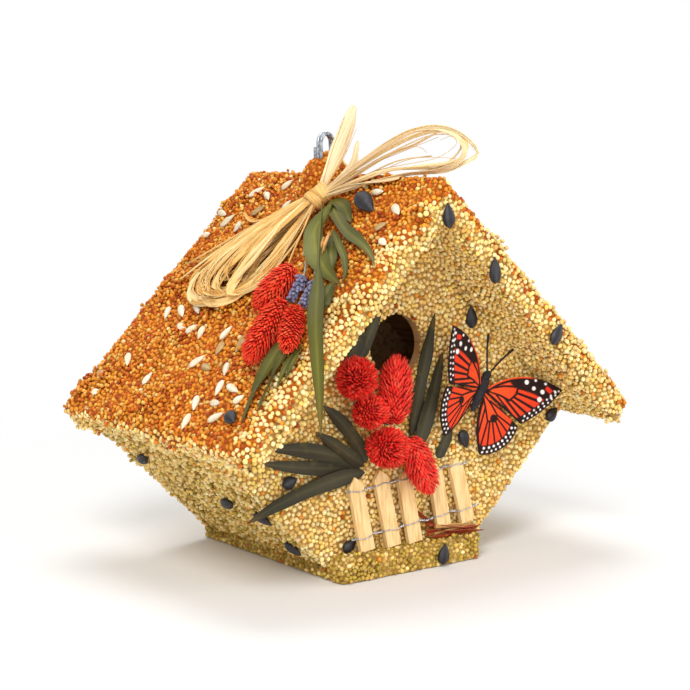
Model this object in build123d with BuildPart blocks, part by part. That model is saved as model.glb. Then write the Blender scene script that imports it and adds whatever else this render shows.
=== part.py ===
from build123d import *
import os
from math import asin, cos, degrees, radians, sin, sqrt

os.makedirs("parts", exist_ok=True)

# A seed-coated wren house: a square plywood box standing on one corner, with its bottom corner cut
# off by a flat floor. Millimetres. Z is up and the front faces -Y. The origin is under the middle of
# the roof, on the surface that the floor rests on.

# Plywood box
board = 4.0
panel_side = 124.0
ridge_height = 154.3
front_face_y = -36.5
box_depth = 92.0
roof_depth = 141.0
eave_overhang = 3.0
porch_depth = 9.5
entrance_diameter = 28.6
entrance_height = 94.5

# Seed coat on each face of the box
roof_coat = 4.0
rim_coat = 3.0
under_coat = 3.0
wall_coat = 3.5
floor_coat = 3.0
floor_edge_coat = 2.5
porch_coat = 3.5
coat_round = 3.0
floor_corner_round = 2.0
entrance_coat_setback = 0.5

# Wire hanger, wound twice round a dowel under the ridge
wire_diameter = 1.6
wire_pitch = 2.2
dowel_diameter = 6.0
dowel_length = 32.0
dowel_clearance = 0.2
dowel_seat_gap = 0.3
wire_hole_clearance = 0.35
hanger_y = 11.0
loop_rise = 18.4
tail_rise = 12.0
plug_radius = 13.0
plug_rise = 9.4
plug_sink = 1.6

# Raffia bow on the left roof. Its places are (down the slope, towards the front).
knot_place = (17.0, 6.5)
knot_length = 10.0
knot_radius = 5.0
knot_end_radius = 4.2
raffia_band = 1.2
raffia_gap = 0.3
strand_half_height = 1.6
left_loop_tip = (74.0, -9.0)
left_loop_rise = 9.0
left_loop_spread = 32.0
right_loop_root = 7.0
right_loop_reach = (29.0, -64.0, 25.0)
right_loop_crest = (45.0, 13.0)
right_loop_shoulder = (67.0, 7.5)
right_loop_drop = 3.0
right_loop_belly = (62.0, -7.0)
right_loop_crossing = (42.0, -1.2)
right_loop_spread = 13.0
loop_root_width = 5.0
tail_tips = ((9.8, -13.3, 37.6), (9.8, -12.2, 23.9))
tail_root_out = 7.0
tail_step = 1.2
tail_thickness = 0.8
tail_root_width = 3.0
tail_width = 6.4
tail_facing = (-0.57, -0.81, 0.13)

# Dried leaves: (base, tip, width, bow, layer), lying on the coat in layers
leaf_thickness = 0.6
leaf_layer = 0.8
leaf_seat_gap = 0.4
roof_leaf_list = [
    ((20.0, 14.0), (64.0, 61.0), 8.0, -7.0, 2),
    ((21.0, 16.0), (52.0, 61.0), 7.0, 3.0, 1),
    ((20.0, 18.0), (38.0, 53.0), 7.0, 4.0, 0),
    ((36.0, 48.0), (53.0, 72.0), 6.5, 4.0, 0),
    ((76.0, 52.0), (128.0, 66.0), 9.0, 0.0, 0),
    ((90.0, 65.0), (110.0, 70.0), 3.5, 1.0, 0),
    ((62.0, 56.0), (88.0, 67.0), 8.0, 0.0, 1),
]
left_leaf_list = [
    ((-22.0, 37.5), (-69.0, 48.9), 6.0, -2.0, 1),
    ((-22.0, 35.5), (-70.7, 43.5), 5.5, 1.0, 0),
    ((-20.0, 33.5), (-77.9, 20.1), 6.5, -3.0, 1),
    ((-20.0, 37.5), (-41.3, 64.1), 6.0, -2.0, 2),
    ((-21.0, 36.5), (-45.0, 53.5), 5.0, 0.0, 2),
]
right_leaf_list = [
    ((5.0, 45.5), (18.4, 97.1), 6.0, 1.0, 0),
    ((7.6, 39.5), (21.5, 80.2), 6.5, 0.0, 1),
    ((19.0, 34.5), (26.5, 48.1), 5.0, 0.0, 0),
]
hole_leaf_list = [
    ((-21.0, -3.5), (-9.8, 16.7), 5.0, 1.0, 0),
    ((-29.0, -4.5), (-19.5, 9.5), 7.0, 0.0, 1),
]

# The long leaf that hangs over the front edge of the left roof: (down, towards the front, off).
# Its bend and its tip are set by how far they stand off that edge.
hanging_leaf_root = (20.0, 11.5, 4.0)
leaf_bend_down = 89.2
leaf_bend_off = 6.5
leaf_bend_clear = 5.0
leaf_tip_down = 114.3
leaf_tip_off = -18.6
leaf_tip_clear = 7.5
hanging_leaf_width = 7.0
hanging_leaf_root_width = 3.0

# Cone flowers: (base, tip, radius), in the roof's or the front's own coordinates
flower_end_radius = 1.0
peg_radius = 0.8
peg_gap = 0.2
roof_flower_list = [
    ((57.0, 31.0, 6.7), (80.0, 27.0, 6.7), 6.0),
    ((74.0, 41.0, 6.6), (106.0, 48.0, 6.6), 6.0),
    ((76.0, 51.0, 5.9), (97.0, 66.0, 5.9), 4.6),
]
face_flower_list = [
    ((-25.0, 70.8, 3.5), (-37.0, 79.1, 22.5), 7.5),
    ((-9.0, 53.0, 8.0), (-7.0, 81.5, 8.5), 7.0),
    ((-21.0, 57.9, 3.2), (-27.0, 62.9, 21.0), 6.7),
    ((-12.5, 43.3, 3.4), (-20.2, 46.6, 23.2), 8.0),
    ((0.4, 46.5, 6.5), (5.2, 23.5, 14.0), 6.3),
]
sprig_radius = 2.2
sprig_end_radius = 0.6
sprig_list = [
    ((60.0, 36.5, 2.8), (71.0, 39.5, 2.8)),
    ((62.0, 47.0, 2.8), (72.0, 50.0, 2.8)),
]

# Picket fence leaning back towards the front: (foot across, top across, top above the porch,
# whether it stands on the dried stems)
picket_width = 7.0
picket_thickness = 2.2
picket_point = 3.5
picket_foot_gap = 1.1
fence_foot_out = 6.0
fence_top_out = 2.4
fence_lean_height = 35.5
picket_list = [
    (-21.9, -26.0, 32.2, False),
    (-8.3, -13.0, 33.5, False),
    (3.0, -0.8, 31.0, False),
    (18.8, 16.0, 32.3, True),
    (32.0, 27.0, 33.3, True),
]
fence_wire_radius = 0.35
fence_wire_gap = 0.1
upper_wire = ((-30.0, 26.0), (35.0, 31.5))
lower_wire = ((-29.0, 6.5), (38.5, 12.2))
stem_radius = 1.1
stem_gap = 0.1
stem_span = (10.0, 39.0)
stem_count = 2

# Butterfly on the front: its body leans to the right, and its wings lift off the front
butterfly_across = 40.5
butterfly_drop = 81.8
butterfly_out = 5.0
butterfly_lean = 29.0
wing_lift = 15.0
wing_thickness = 0.5
wing_gap = 0.3
wing_root = 2.6
body_radius = 2.0
body_end_radius = 0.7
body_tail = -9.5
body_head = 8.5
antenna_radius = 0.4
antenna_root = (0.9, 9.2)
antenna_tip = (8.0, 23.0)
pin_radius = 0.6
pin_gap = 0.2
forewing_root_rise = 2.4
forewing_shoulder = (18.0, 14.3)
forewing_tip = (36.0, 16.0)
forewing_margin = (31.0, 4.5)
forewing_corner = (23.5, -5.6)
hindwing_root_drop = 4.0
hindwing_corner = (23.0, -7.0)
hindwing_margin = (20.0, -18.5)
hindwing_tip = (11.0, -25.5)
hindwing_inner = (5.2, -16.0)

# Worked out from the sizes above
slant = sqrt(2)
half_diagonal = panel_side / slant
panel_centre_z = ridge_height - half_diagonal
floor_top = floor_coat + board
foot_x = half_diagonal - (panel_centre_z - floor_top)
wall_foot_x = foot_x + board * slant
coat_foot_x = wall_foot_x + wall_coat * slant
tray_half_width = wall_foot_x + floor_edge_coat
wall_along = panel_side + board
roof_run = wall_along + eave_overhang
back_face_y = front_face_y + box_depth
front_coat_y = front_face_y - wall_coat
back_coat_y = back_face_y + wall_coat
roof_end_y = roof_depth / 2
rim_end_y = roof_end_y + rim_coat
floor_front_y = front_face_y - porch_depth
floor_length = back_coat_y - floor_front_y
floor_mid_y = (back_coat_y + floor_front_y) / 2
coat_ridge_z = ridge_height + (board + roof_coat) * slant
hanging_leaf_bend = (leaf_bend_down, rim_end_y + leaf_bend_clear, leaf_bend_off)
hanging_leaf_tip = (leaf_tip_down, rim_end_y + leaf_tip_clear, leaf_tip_off)
porch_top = floor_top + porch_coat
plug_top_z = coat_ridge_z + plug_rise
plug_depth = plug_rise + plug_radius + plug_sink
wire_radius = wire_diameter / 2
dowel_radius = dowel_diameter / 2
dowel_z = ridge_height - (dowel_radius + dowel_seat_gap) * slant
leg_x = dowel_radius + dowel_clearance + wire_radius
slot_width = wire_diameter + 2 * wire_hole_clearance
slot_length = slot_width + 2 * wire_pitch
knot_centre = (*knot_place, knot_radius + raffia_gap)
butterfly_place = (butterfly_across, ridge_height - butterfly_drop - porch_top)

# The left roof's coat: x runs down the slope from the ridge, y towards the front, z off the roof
roof_frame = Plane(origin=(0, 0, coat_ridge_z), x_dir=(-1, 0, -1), z_dir=(-1, 0, 1))
# The front's coat: x to the right, y up from the porch, z off the front
face_frame = Plane(origin=(0, front_coat_y, porch_top), x_dir=(1, 0, 0), z_dir=(0, -1, 0))
# The same, with y up from the middle of the entrance
entrance_frame = Plane(origin=(0, front_coat_y, entrance_height), x_dir=(1, 0, 0), z_dir=(0, -1, 0))


def slope_point(side, along, out):
    """A point (x, z) on a roof slope: along its underside from the ridge, and out from it."""
    return (side * (along + out) / slant, ridge_height + (out - along) / slant)


def section_plane(back_y):
    """The upright plane whose sketches, drawn in x and z, extrude towards the front from back_y."""
    return Plane.XZ.offset(-back_y)


def heading_plane(frame, base, tip, up=(0, 0, 1)):
    """A plane in a frame's coordinates: origin at base, x towards tip, z as near up as it can be."""
    start = Vector(*base)
    heading = (Vector(*tip) - start).normalized()
    across = Vector(*up).cross(heading).normalized()
    off = heading.cross(across)
    origin, ahead, above = [
        frame.from_local_coords(point) for point in (start, start + heading, start + off)
    ]
    return Plane(origin=origin, x_dir=ahead - origin, z_dir=above - origin)


def side_plane(plane):
    """The plane through the same x axis whose y axis is the given plane's normal."""
    return Plane(origin=plane.origin, x_dir=plane.x_dir, z_dir=plane.y_dir * -1)


def distance(base, tip):
    return (Vector(*tip) - Vector(*base)).length


# Front and back panels: squares on one corner, cut level at the floor
panel_outline = [
    (0, ridge_height),
    (half_diagonal, panel_centre_z),
    (foot_x, floor_top),
    (-foot_x, floor_top),
    (-half_diagonal, panel_centre_z),
]

with BuildPart() as front_panel:
    with BuildSketch(section_plane(front_face_y + board)):
        Polygon(*panel_outline, align=None)
        with Locations((0, entrance_height)):
            Circle(entrance_diameter / 2, mode=Mode.SUBTRACT)
    extrude(amount=board)

with BuildPart() as back_panel:
    with BuildSketch(section_plane(back_face_y)):
        Polygon(*panel_outline, align=None)
    extrude(amount=board)


# Lower walls: boards that slope in from the roof to the floor, over the edges of both panels
def wall_board(side):
    with BuildPart() as wall:
        with BuildSketch(section_plane(back_face_y)):
            Polygon(
                slope_point(side, panel_side, 0),
                slope_point(side, wall_along, 0),
                (side * wall_foot_x, floor_top),
                (side * foot_x, floor_top),
                align=None,
            )
        extrude(amount=box_depth)
    return wall.part


# Slots at the ridge for the hanger's wires
with BuildPart() as wire_slots:
    with BuildSketch(Plane.XY.offset(ridge_height - plug_depth)):
        with Locations((-leg_x, hanger_y), (leg_x, hanger_y)):
            SlotOverall(slot_length, slot_width, rotation=90)
    extrude(amount=plug_top_z - ridge_height + 2 * plug_depth)


# Roof boards, mitred at the ridge
def roof_board(side):
    with BuildPart() as roof:
        with BuildSketch(section_plane(roof_end_y)):
            Polygon(
                slope_point(side, 0, 0),
                slope_point(side, roof_run, 0),
                slope_point(side, roof_run, board),
                slope_point(side, -board, board),
                align=None,
            )
        extrude(amount=roof_depth)
        add(wire_slots.part, mode=Mode.SUBTRACT)
    return roof.part


with BuildPart() as floor_board:
    with BuildSketch(Plane.XY.offset(floor_coat)):
        with Locations((0, floor_mid_y)):
            Rectangle(2 * wall_foot_x, floor_length)
    extrude(amount=board)


# Seed coat on the roof's tops, with rounded outer edges
def roof_top_coat(side):
    outward = Axis((0, 0, 0), (side, 0, 1))
    with BuildPart() as coat:
        with BuildSketch(section_plane(rim_end_y)):
            Polygon(
                slope_point(side, -board, board),
                slope_point(side, roof_run + rim_coat, board),
                slope_point(side, roof_run + rim_coat, board + roof_coat),
                slope_point(side, -board - roof_coat, board + roof_coat),
                align=None,
            )
        extrude(amount=2 * rim_end_y)
        top_edges = coat.faces().sort_by(outward)[-1].edges()
        fillet(top_edges.sort_by(Axis.Z)[:-1], radius=min(coat_round, 0.9 * roof_coat))
        add(wire_slots.part, mode=Mode.SUBTRACT)
    return coat.part


# Seed coat on the roof's edges and under its overhangs
def roof_rim_coat(side):
    eave_outline = [
        slope_point(side, wall_along, -under_coat),
        slope_point(side, roof_run + rim_coat, -under_coat),
        slope_point(side, roof_run + rim_coat, board),
        slope_point(side, roof_run, board),
        slope_point(side, roof_run, 0),
        slope_point(side, wall_along, 0),
    ]
    edge_outline = [
        slope_point(side, -board, board),
        slope_point(side, roof_run, board),
        slope_point(side, roof_run, -under_coat),
        slope_point(side, under_coat, -under_coat),
    ]
    under_outline = [
        slope_point(side, 0, 0),
        slope_point(side, wall_along, 0),
        slope_point(side, wall_along, -under_coat),
        slope_point(side, under_coat, -under_coat),
    ]
    with BuildPart() as rim:
        with BuildSketch(section_plane(rim_end_y)):
            Polygon(*eave_outline, align=None)
        extrude(amount=2 * rim_end_y)
        for back_y in (rim_end_y, -roof_end_y):
            with BuildSketch(section_plane(back_y)):
                Polygon(*edge_outline, align=None)
            extrude(amount=rim_coat)
        for back_y, front_y in ((roof_end_y, back_coat_y), (front_coat_y, -roof_end_y)):
            with BuildSketch(section_plane(back_y)):
                Polygon(*under_outline, align=None)
            extrude(amount=back_y - front_y)
    return rim.part


# Seed coat on the front and back: over the panels, the wall ends and the wall coats' ends
coat_half_outline = [
    slope_point(1, wall_along, 0),
    slope_point(1, wall_along, -under_coat),
    slope_point(1, wall_along + wall_coat, -under_coat),
    (coat_foot_x, floor_top),
]
coat_outline = [(0, ridge_height)] + coat_half_outline
coat_outline += [(-x, z) for x, z in reversed(coat_half_outline)]

with BuildPart() as front_seed_coat:
    with BuildSketch(section_plane(front_face_y)):
        Polygon(*coat_outline, align=None)
        with Locations((0, entrance_height)):
            Circle(entrance_diameter / 2 + entrance_coat_setback, mode=Mode.SUBTRACT)
    extrude(amount=wall_coat)

with BuildPart() as back_seed_coat:
    with BuildSketch(section_plane(back_coat_y)):
        Polygon(*coat_outline, align=None)
    extrude(amount=wall_coat)


# Seed coat on the lower walls
def wall_seed_coat(side):
    with BuildPart() as coat:
        with BuildSketch(section_plane(back_face_y)):
            Polygon(
                slope_point(side, wall_along, -under_coat),
                slope_point(side, wall_along + wall_coat, -under_coat),
                (side * coat_foot_x, floor_top),
                (side * wall_foot_x, floor_top),
                align=None,
            )
        extrude(amount=box_depth)
    return coat.part


# Seed coat under and round the floor, as a tray
with BuildPart() as floor_seed_coat:
    with BuildSketch():
        with Locations((0, floor_mid_y)):
            Rectangle(2 * tray_half_width, floor_length + 2 * floor_edge_coat)
    extrude(amount=floor_top)
    fillet(floor_seed_coat.edges().filter_by(Axis.Z), radius=floor_corner_round)
    add(floor_board.part, mode=Mode.SUBTRACT)

with BuildPart() as porch_seed_coat:
    with BuildSketch(Plane.XY.offset(floor_top)):
        with Locations((0, floor_front_y - floor_edge_coat)):
            Rectangle(
                2 * tray_half_width,
                porch_depth + floor_edge_coat - wall_coat,
                align=(Align.CENTER, Align.MIN),
            )
    extrude(amount=porch_coat)
    front_corners = porch_seed_coat.edges().filter_by(Axis.Z).group_by(Axis.Y)[0]
    fillet(front_corners, radius=floor_corner_round)

# Heap of seed round the hanger's wires, sitting astride the ridge
with BuildPart() as hanger_seed_plug:
    with BuildSketch(section_plane(hanger_y)):
        with BuildLine():
            EllipticalCenterArc((0, plug_top_z - plug_depth), plug_radius, plug_depth, arc_size=90)
            Line((0, plug_top_z), (0, plug_top_z - plug_depth))
            Line((0, plug_top_z - plug_depth), (plug_radius, plug_top_z - plug_depth))
        make_face()
    revolve(axis=Axis((0, hanger_y, 0), (0, 0, 1)))
    with BuildSketch(section_plane(hanger_y + 2 * plug_radius)):
        Polygon(
            (0, coat_ridge_z),
            (2 * plug_depth, coat_ridge_z - 2 * plug_depth),
            (-2 * plug_depth, coat_ridge_z - 2 * plug_depth),
            align=None,
        )
    extrude(amount=4 * plug_radius, mode=Mode.SUBTRACT)
    add(wire_slots.part, mode=Mode.SUBTRACT)

# The dowel that carries the hanger, tucked up under the ridge
with BuildPart() as hanger_dowel:
    with BuildSketch(section_plane(hanger_y + dowel_length / 2)):
        with Locations((0, dowel_z)):
            Circle(dowel_radius)
    extrude(amount=dowel_length)

# One wire, twice round the dowel: its cut end, then two loops one pitch apart
crown_z = coat_ridge_z + loop_rise - wire_radius - leg_x
rows_y = [hanger_y + wire_pitch, hanger_y, hanger_y - wire_pitch]
crown_radius = sqrt(leg_x**2 + (wire_pitch / 2) ** 2)
tail_top = (-leg_x, rows_y[0], coat_ridge_z + tail_rise)
with BuildPart() as hanger_wire:
    with BuildLine() as wire_route:
        Line(tail_top, (-leg_x, rows_y[0], dowel_z))
        for row_y, next_y in zip(rows_y, rows_y[1:]):
            ThreePointArc((-leg_x, row_y, dowel_z), (0, row_y, dowel_z - leg_x), (leg_x, row_y, dowel_z))
            Line((leg_x, row_y, dowel_z), (leg_x, row_y, crown_z))
            crown_top = (0, (row_y + next_y) / 2, crown_z + crown_radius)
            ThreePointArc((leg_x, row_y, crown_z), crown_top, (-leg_x, next_y, crown_z))
            Line((-leg_x, next_y, crown_z), (-leg_x, next_y, dowel_z))
    with BuildSketch(Plane(origin=tail_top, z_dir=(0, 0, -1))):
        Circle(wire_radius)
    sweep(path=wire_route.wire())

# The wire's least gap to itself, measured on points along its route
route_steps = 360
route_step = wire_route.wire().length / route_steps
route_points = [wire_route.wire().position_at(step / route_steps) for step in range(route_steps + 1)]
apart_steps = round(3 * wire_diameter / route_step)
hanger_gap = min(
    (route_points[first] - route_points[second]).length - wire_diameter
    for first in range(route_steps + 1)
    for second in range(first + apart_steps, route_steps + 1)
)
print(f"hanger wire: least gap to itself {hanger_gap:.2f} mm")

# Raffia bow: a bound knot, a loop lying down the roof, a loop springing over the ridge, two tails
left_plane = heading_plane(roof_frame, knot_centre, (*left_loop_tip, knot_centre[2]))
left_reach = distance(knot_place, left_loop_tip)
knot_origin = left_plane.origin
right_plane = heading_plane(Plane.XY, knot_origin, knot_origin + Vector(*right_loop_reach))
right_reach = Vector(*right_loop_reach).length

with BuildPart() as raffia_knot:
    with BuildSketch(left_plane):
        with BuildLine():
            Line((-knot_length / 2, 0), (-knot_length / 2, knot_end_radius))
            ThreePointArc(
                (-knot_length / 2, knot_end_radius),
                (0, knot_radius),
                (knot_length / 2, knot_end_radius),
            )
            Line((knot_length / 2, knot_end_radius), (knot_length / 2, 0))
            Line((knot_length / 2, 0), (-knot_length / 2, 0))
        make_face()
    revolve(axis=Axis(knot_origin, left_plane.x_dir))


def fan_outline(root, reach, spread):
    """The bow loop's outline from above: narrow at the knot and spread at its end."""
    half_root = loop_root_width / 2
    return [(root, -half_root), (reach, -spread / 2), (reach, spread / 2), (root, half_root)]


left_root = knot_length / 2 + raffia_gap
left_low = raffia_gap - knot_centre[2]
left_high = left_low + left_loop_rise
left_turn = left_reach - left_loop_rise / 2
with BuildPart() as raffia_left_loop:
    with BuildSketch(side_plane(left_plane)):
        with BuildLine():
            Line((left_root, strand_half_height), (left_turn, left_high))
            ThreePointArc(
                (left_turn, left_high),
                (left_reach, (left_low + left_high) / 2),
                (left_turn, left_low),
            )
            Line((left_turn, left_low), (left_root, -strand_half_height))
            Line((left_root, -strand_half_height), (left_root, strand_half_height))
        make_face()
        offset(amount=-raffia_band, mode=Mode.SUBTRACT)
    extrude(amount=left_loop_spread, both=True)
    with BuildSketch(left_plane):
        Polygon(*fan_outline(left_root, left_reach, left_loop_spread), align=None)
    extrude(amount=left_reach, both=True, mode=Mode.INTERSECT)

with BuildPart() as raffia_right_loop:
    with BuildSketch(side_plane(right_plane)):
        with BuildLine():
            right_tip = (right_reach, -right_loop_drop)
            Line((right_loop_root, strand_half_height), right_loop_crest)
            ThreePointArc(right_loop_crest, right_loop_shoulder, right_tip)
            Line(right_tip, right_loop_belly)
            Line(right_loop_belly, right_loop_crossing)
            Line(right_loop_crossing, (right_loop_root, -strand_half_height))
            Line((right_loop_root, -strand_half_height), (right_loop_root, strand_half_height))
        make_face()
        offset(amount=-raffia_band, mode=Mode.SUBTRACT)
    extrude(amount=right_loop_spread, both=True)
    with BuildSketch(right_plane):
        Polygon(*fan_outline(right_loop_root, right_reach, right_loop_spread), align=None)
    extrude(amount=right_reach, both=True, mode=Mode.INTERSECT)

with BuildPart() as raffia_tails:
    for row, tail_tip in enumerate(tail_tips):
        tail_length = Vector(*tail_tip).length - tail_root_out
        tail_start = Vector(*tail_tip).normalized() * tail_root_out
        tail_start = tail_start - Vector(*tail_facing).normalized() * row * tail_step
        tail_root = knot_origin + tail_start
        with BuildSketch(
            heading_plane(Plane.XY, tail_root, tail_root + Vector(*tail_tip), tail_facing)
        ):
            Polygon(
                (0, -tail_root_width / 2),
                (tail_length / 2, -tail_width / 2),
                (tail_length, -tail_width / 3),
                (tail_length, tail_width / 3),
                (tail_length / 2, tail_width / 2),
                (0, tail_root_width / 2),
                align=None,
            )
        extrude(amount=tail_thickness)


# Dried leaves, each a thin blade between two arcs
def leaf_blade(frame, base, tip, width, bow, layer):
    lift = leaf_seat_gap + layer * leaf_layer
    length = distance(base, tip)
    with BuildPart() as blade:
        with BuildSketch(heading_plane(frame, (*base, lift), (*tip, lift))):
            with BuildLine():
                ThreePointArc((0, 0), (length / 2, bow + width / 2), (length, 0))
                ThreePointArc((length, 0), (length / 2, bow - width / 2), (0, 0))
            make_face()
        extrude(amount=leaf_thickness)
    return blade.part


def leaf_group(frame, leaves):
    with BuildPart() as group:
        for leaf in leaves:
            add(leaf_blade(frame, *leaf))
    return group.part


# The long leaf: along the roof to its front edge, then hanging down past it
with BuildPart() as hanging_leaf:
    upper_length = distance(hanging_leaf_root, hanging_leaf_bend)
    with BuildSketch(heading_plane(roof_frame, hanging_leaf_root, hanging_leaf_bend)):
        Polygon(
            (0, -hanging_leaf_root_width / 2),
            (upper_length, -hanging_leaf_width / 2),
            (upper_length, hanging_leaf_width / 2),
            (0, hanging_leaf_root_width / 2),
            align=None,
        )
    extrude(amount=leaf_thickness)
    lower_length = distance(hanging_leaf_bend, hanging_leaf_tip)
    with BuildSketch(heading_plane(roof_frame, hanging_leaf_bend, hanging_leaf_tip, (0, 1, 0))):
        with BuildLine():
            half_width = hanging_leaf_width / 2
            shoulder = (lower_length / 2, half_width)
            ThreePointArc((0, half_width), shoulder, (lower_length, 0))
            ThreePointArc((lower_length, 0), (shoulder[0], -half_width), (0, -half_width))
            Line((0, -half_width), (0, half_width))
        make_face()
    extrude(amount=leaf_thickness, both=True)


# Cone flowers and lavender sprigs: spindles turned about their own axes
def spindle(frame, base, tip, radius, end_radius):
    """A head turned about the line from base to tip: an ellipse cut square at both ends."""
    length = distance(base, tip)
    cut_angle = asin(end_radius / radius)
    plane = heading_plane(frame, base, tip)
    with BuildPart() as head:
        with BuildSketch(plane):
            with BuildLine():
                bulge = EllipticalCenterArc(
                    (length / 2, 0),
                    length / 2 / cos(cut_angle),
                    radius,
                    start_angle=degrees(cut_angle),
                    arc_size=180 - 2 * degrees(cut_angle),
                )
                Line(bulge @ 1, (0, 0))
                Line((0, 0), (length, 0))
                Line((length, 0), bulge @ 0)
            make_face()
        revolve(axis=Axis(plane.origin, plane.x_dir))
    return head.part


with BuildPart() as lavender_sprigs:
    for base, tip in sprig_list:
        add(spindle(roof_frame, base, tip, sprig_radius, sprig_end_radius))

# Wire pegs that hold the cone flowers to the front
with BuildPart() as flower_pegs:
    for base, tip, radius in face_flower_list:
        with BuildSketch(face_frame):
            with Locations(base[:2]):
                Circle(peg_radius)
        lean = distance(base[:2], tip[:2]) / distance(base, tip)
        extrude(amount=base[2] - (flower_end_radius + 2 * peg_radius) * lean - peg_gap)


# Picket fence: pointed pickets on a plane that leans back, two straight wires, two dried stems
def fence_out(height):
    """How far off the front the pickets' middle plane is at a height above the porch."""
    return fence_foot_out + (fence_top_out - fence_foot_out) * height / fence_lean_height


def fence_point(across, height):
    return (across, height, fence_out(height))


stem_rise = 2 * stem_radius + stem_gap


def fence_picket(foot_across, top_across, top_height, on_stems):
    foot_height = picket_foot_gap + (stem_count * stem_rise if on_stems else 0)
    foot = fence_point(foot_across, foot_height)
    top = fence_point(top_across, top_height)
    length = distance(foot, top)
    with BuildPart() as picket:
        with BuildSketch(heading_plane(face_frame, foot, top)):
            Polygon(
                (0, -picket_width / 2),
                (length - picket_point, -picket_width / 2),
                (length, 0),
                (length - picket_point, picket_width / 2),
                (0, picket_width / 2),
                align=None,
            )
        extrude(amount=picket_thickness / 2, both=True)
    return picket.part


def fence_wire(ends):
    wire_out = picket_thickness / 2 + fence_wire_gap + fence_wire_radius
    left, right = [(x, height, fence_out(height) + wire_out) for x, height in ends]
    run = heading_plane(face_frame, left, right)
    with BuildPart() as wire:
        with BuildSketch(Plane(origin=run.origin, z_dir=run.x_dir)):
            Circle(fence_wire_radius)
        extrude(amount=distance(left, right))
    return wire.part


with BuildPart() as dried_stems:
    for row in range(stem_count):
        stem_height = porch_top + stem_gap + stem_radius + row * stem_rise
        with BuildSketch(Plane.YZ.offset(stem_span[0])):
            with Locations((front_coat_y - fence_foot_out, stem_height)):
                Circle(stem_radius)
        extrude(amount=stem_span[1] - stem_span[0])

# Butterfly: x to its right wing, y to its head, z off the front
butterfly_frame = Plane(
    origin=face_frame.from_local_coords(Vector(*butterfly_place, butterfly_out)),
    x_dir=(cos(radians(butterfly_lean)), 0, -sin(radians(butterfly_lean))),
    z_dir=(0, -1, 0),
)

with BuildPart() as butterfly_body:
    add(spindle(butterfly_frame, (0, body_tail, 0), (0, body_head, 0), body_radius, body_end_radius))

with BuildPart() as butterfly_antennae:
    for side in (-1, 1):
        antenna = heading_plane(
            butterfly_frame,
            (side * antenna_root[0], antenna_root[1], 0),
            (side * antenna_tip[0], antenna_tip[1], 0),
        )
        with BuildSketch(Plane(origin=antenna.origin, z_dir=antenna.x_dir)):
            Circle(antenna_radius)
        extrude(amount=distance(antenna_root, antenna_tip))

with BuildPart() as butterfly_pin:
    with BuildSketch(face_frame):
        with Locations(butterfly_place):
            Circle(pin_radius)
    extrude(amount=butterfly_out - body_radius - pin_gap)


def wing_plane(side, drop):
    """A wing's own plane: x out along the wing, y to the head, lifted off the front."""
    level = butterfly_frame.x_dir * side
    out = butterfly_frame.z_dir
    along = level * cos(radians(wing_lift)) + out * sin(radians(wing_lift))
    off = out * cos(radians(wing_lift)) - level * sin(radians(wing_lift))
    return Plane(origin=butterfly_frame.origin - off * drop, x_dir=along, z_dir=off * side)


def forewing(side):
    with BuildPart() as wing:
        with BuildSketch(wing_plane(side, 0)):
            with BuildLine():
                ThreePointArc((wing_root, forewing_root_rise), forewing_shoulder, forewing_tip)
                ThreePointArc(forewing_tip, forewing_margin, forewing_corner)
                Line(forewing_corner, (wing_root, 0))
                Line((wing_root, 0), (wing_root, forewing_root_rise))
            make_face()
        extrude(amount=wing_thickness * side)
    return wing.part


def hindwing(side):
    with BuildPart() as wing:
        with BuildSketch(wing_plane(side, wing_thickness + wing_gap)):
            with BuildLine():
                Line((wing_root, 0), hindwing_corner)
                ThreePointArc(hindwing_corner, hindwing_margin, hindwing_tip)
                ThreePointArc(hindwing_tip, hindwing_inner, (wing_root, -hindwing_root_drop))
                Line((wing_root, -hindwing_root_drop), (wing_root, 0))
            make_face()
        extrude(amount=wing_thickness * side)
    return wing.part


# Every piece, by the name that it is kept under
pieces = {
    "front_panel": front_panel.part,
    "back_panel": back_panel.part,
    "left_wall": wall_board(-1),
    "right_wall": wall_board(1),
    "floor_board": floor_board.part,
    "left_roof_board": roof_board(-1),
    "right_roof_board": roof_board(1),
    "front_seed_coat": front_seed_coat.part,
    "back_seed_coat": back_seed_coat.part,
    "left_wall_seed_coat": wall_seed_coat(-1),
    "right_wall_seed_coat": wall_seed_coat(1),
    "left_roof_seed_coat": roof_top_coat(-1),
    "right_roof_seed_coat": roof_top_coat(1),
    "left_rim_seed_coat": roof_rim_coat(-1),
    "right_rim_seed_coat": roof_rim_coat(1),
    "floor_seed_coat": floor_seed_coat.part,
    "porch_seed_coat": porch_seed_coat.part,
    "hanger_seed_plug": hanger_seed_plug.part,
    "hanger_dowel": hanger_dowel.part,
    "hanger_wire": hanger_wire.part,
    "raffia_knot": raffia_knot.part,
    "raffia_left_loop": raffia_left_loop.part,
    "raffia_right_loop": raffia_right_loop.part,
    "raffia_tails": raffia_tails.part,
    "roof_leaves": leaf_group(roof_frame, roof_leaf_list),
    "hanging_leaf": hanging_leaf.part,
    "lavender_sprigs": lavender_sprigs.part,
    "face_leaves_left": leaf_group(face_frame, left_leaf_list),
    "face_leaves_right": leaf_group(face_frame, right_leaf_list),
    "face_leaves_hole": leaf_group(entrance_frame, hole_leaf_list),
    "flower_pegs": flower_pegs.part,
    "fence_upper_wire": fence_wire(upper_wire),
    "fence_lower_wire": fence_wire(lower_wire),
    "dried_stems": dried_stems.part,
    "butterfly_body": butterfly_body.part,
    "butterfly_antennae": butterfly_antennae.part,
    "butterfly_pin": butterfly_pin.part,
    "butterfly_left_forewing": forewing(-1),
    "butterfly_right_forewing": forewing(1),
    "butterfly_left_hindwing": hindwing(-1),
    "butterfly_right_hindwing": hindwing(1),
}
for number, flower in enumerate(roof_flower_list, start=1):
    pieces[f"roof_flower_{number}"] = spindle(roof_frame, *flower, flower_end_radius)
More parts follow.
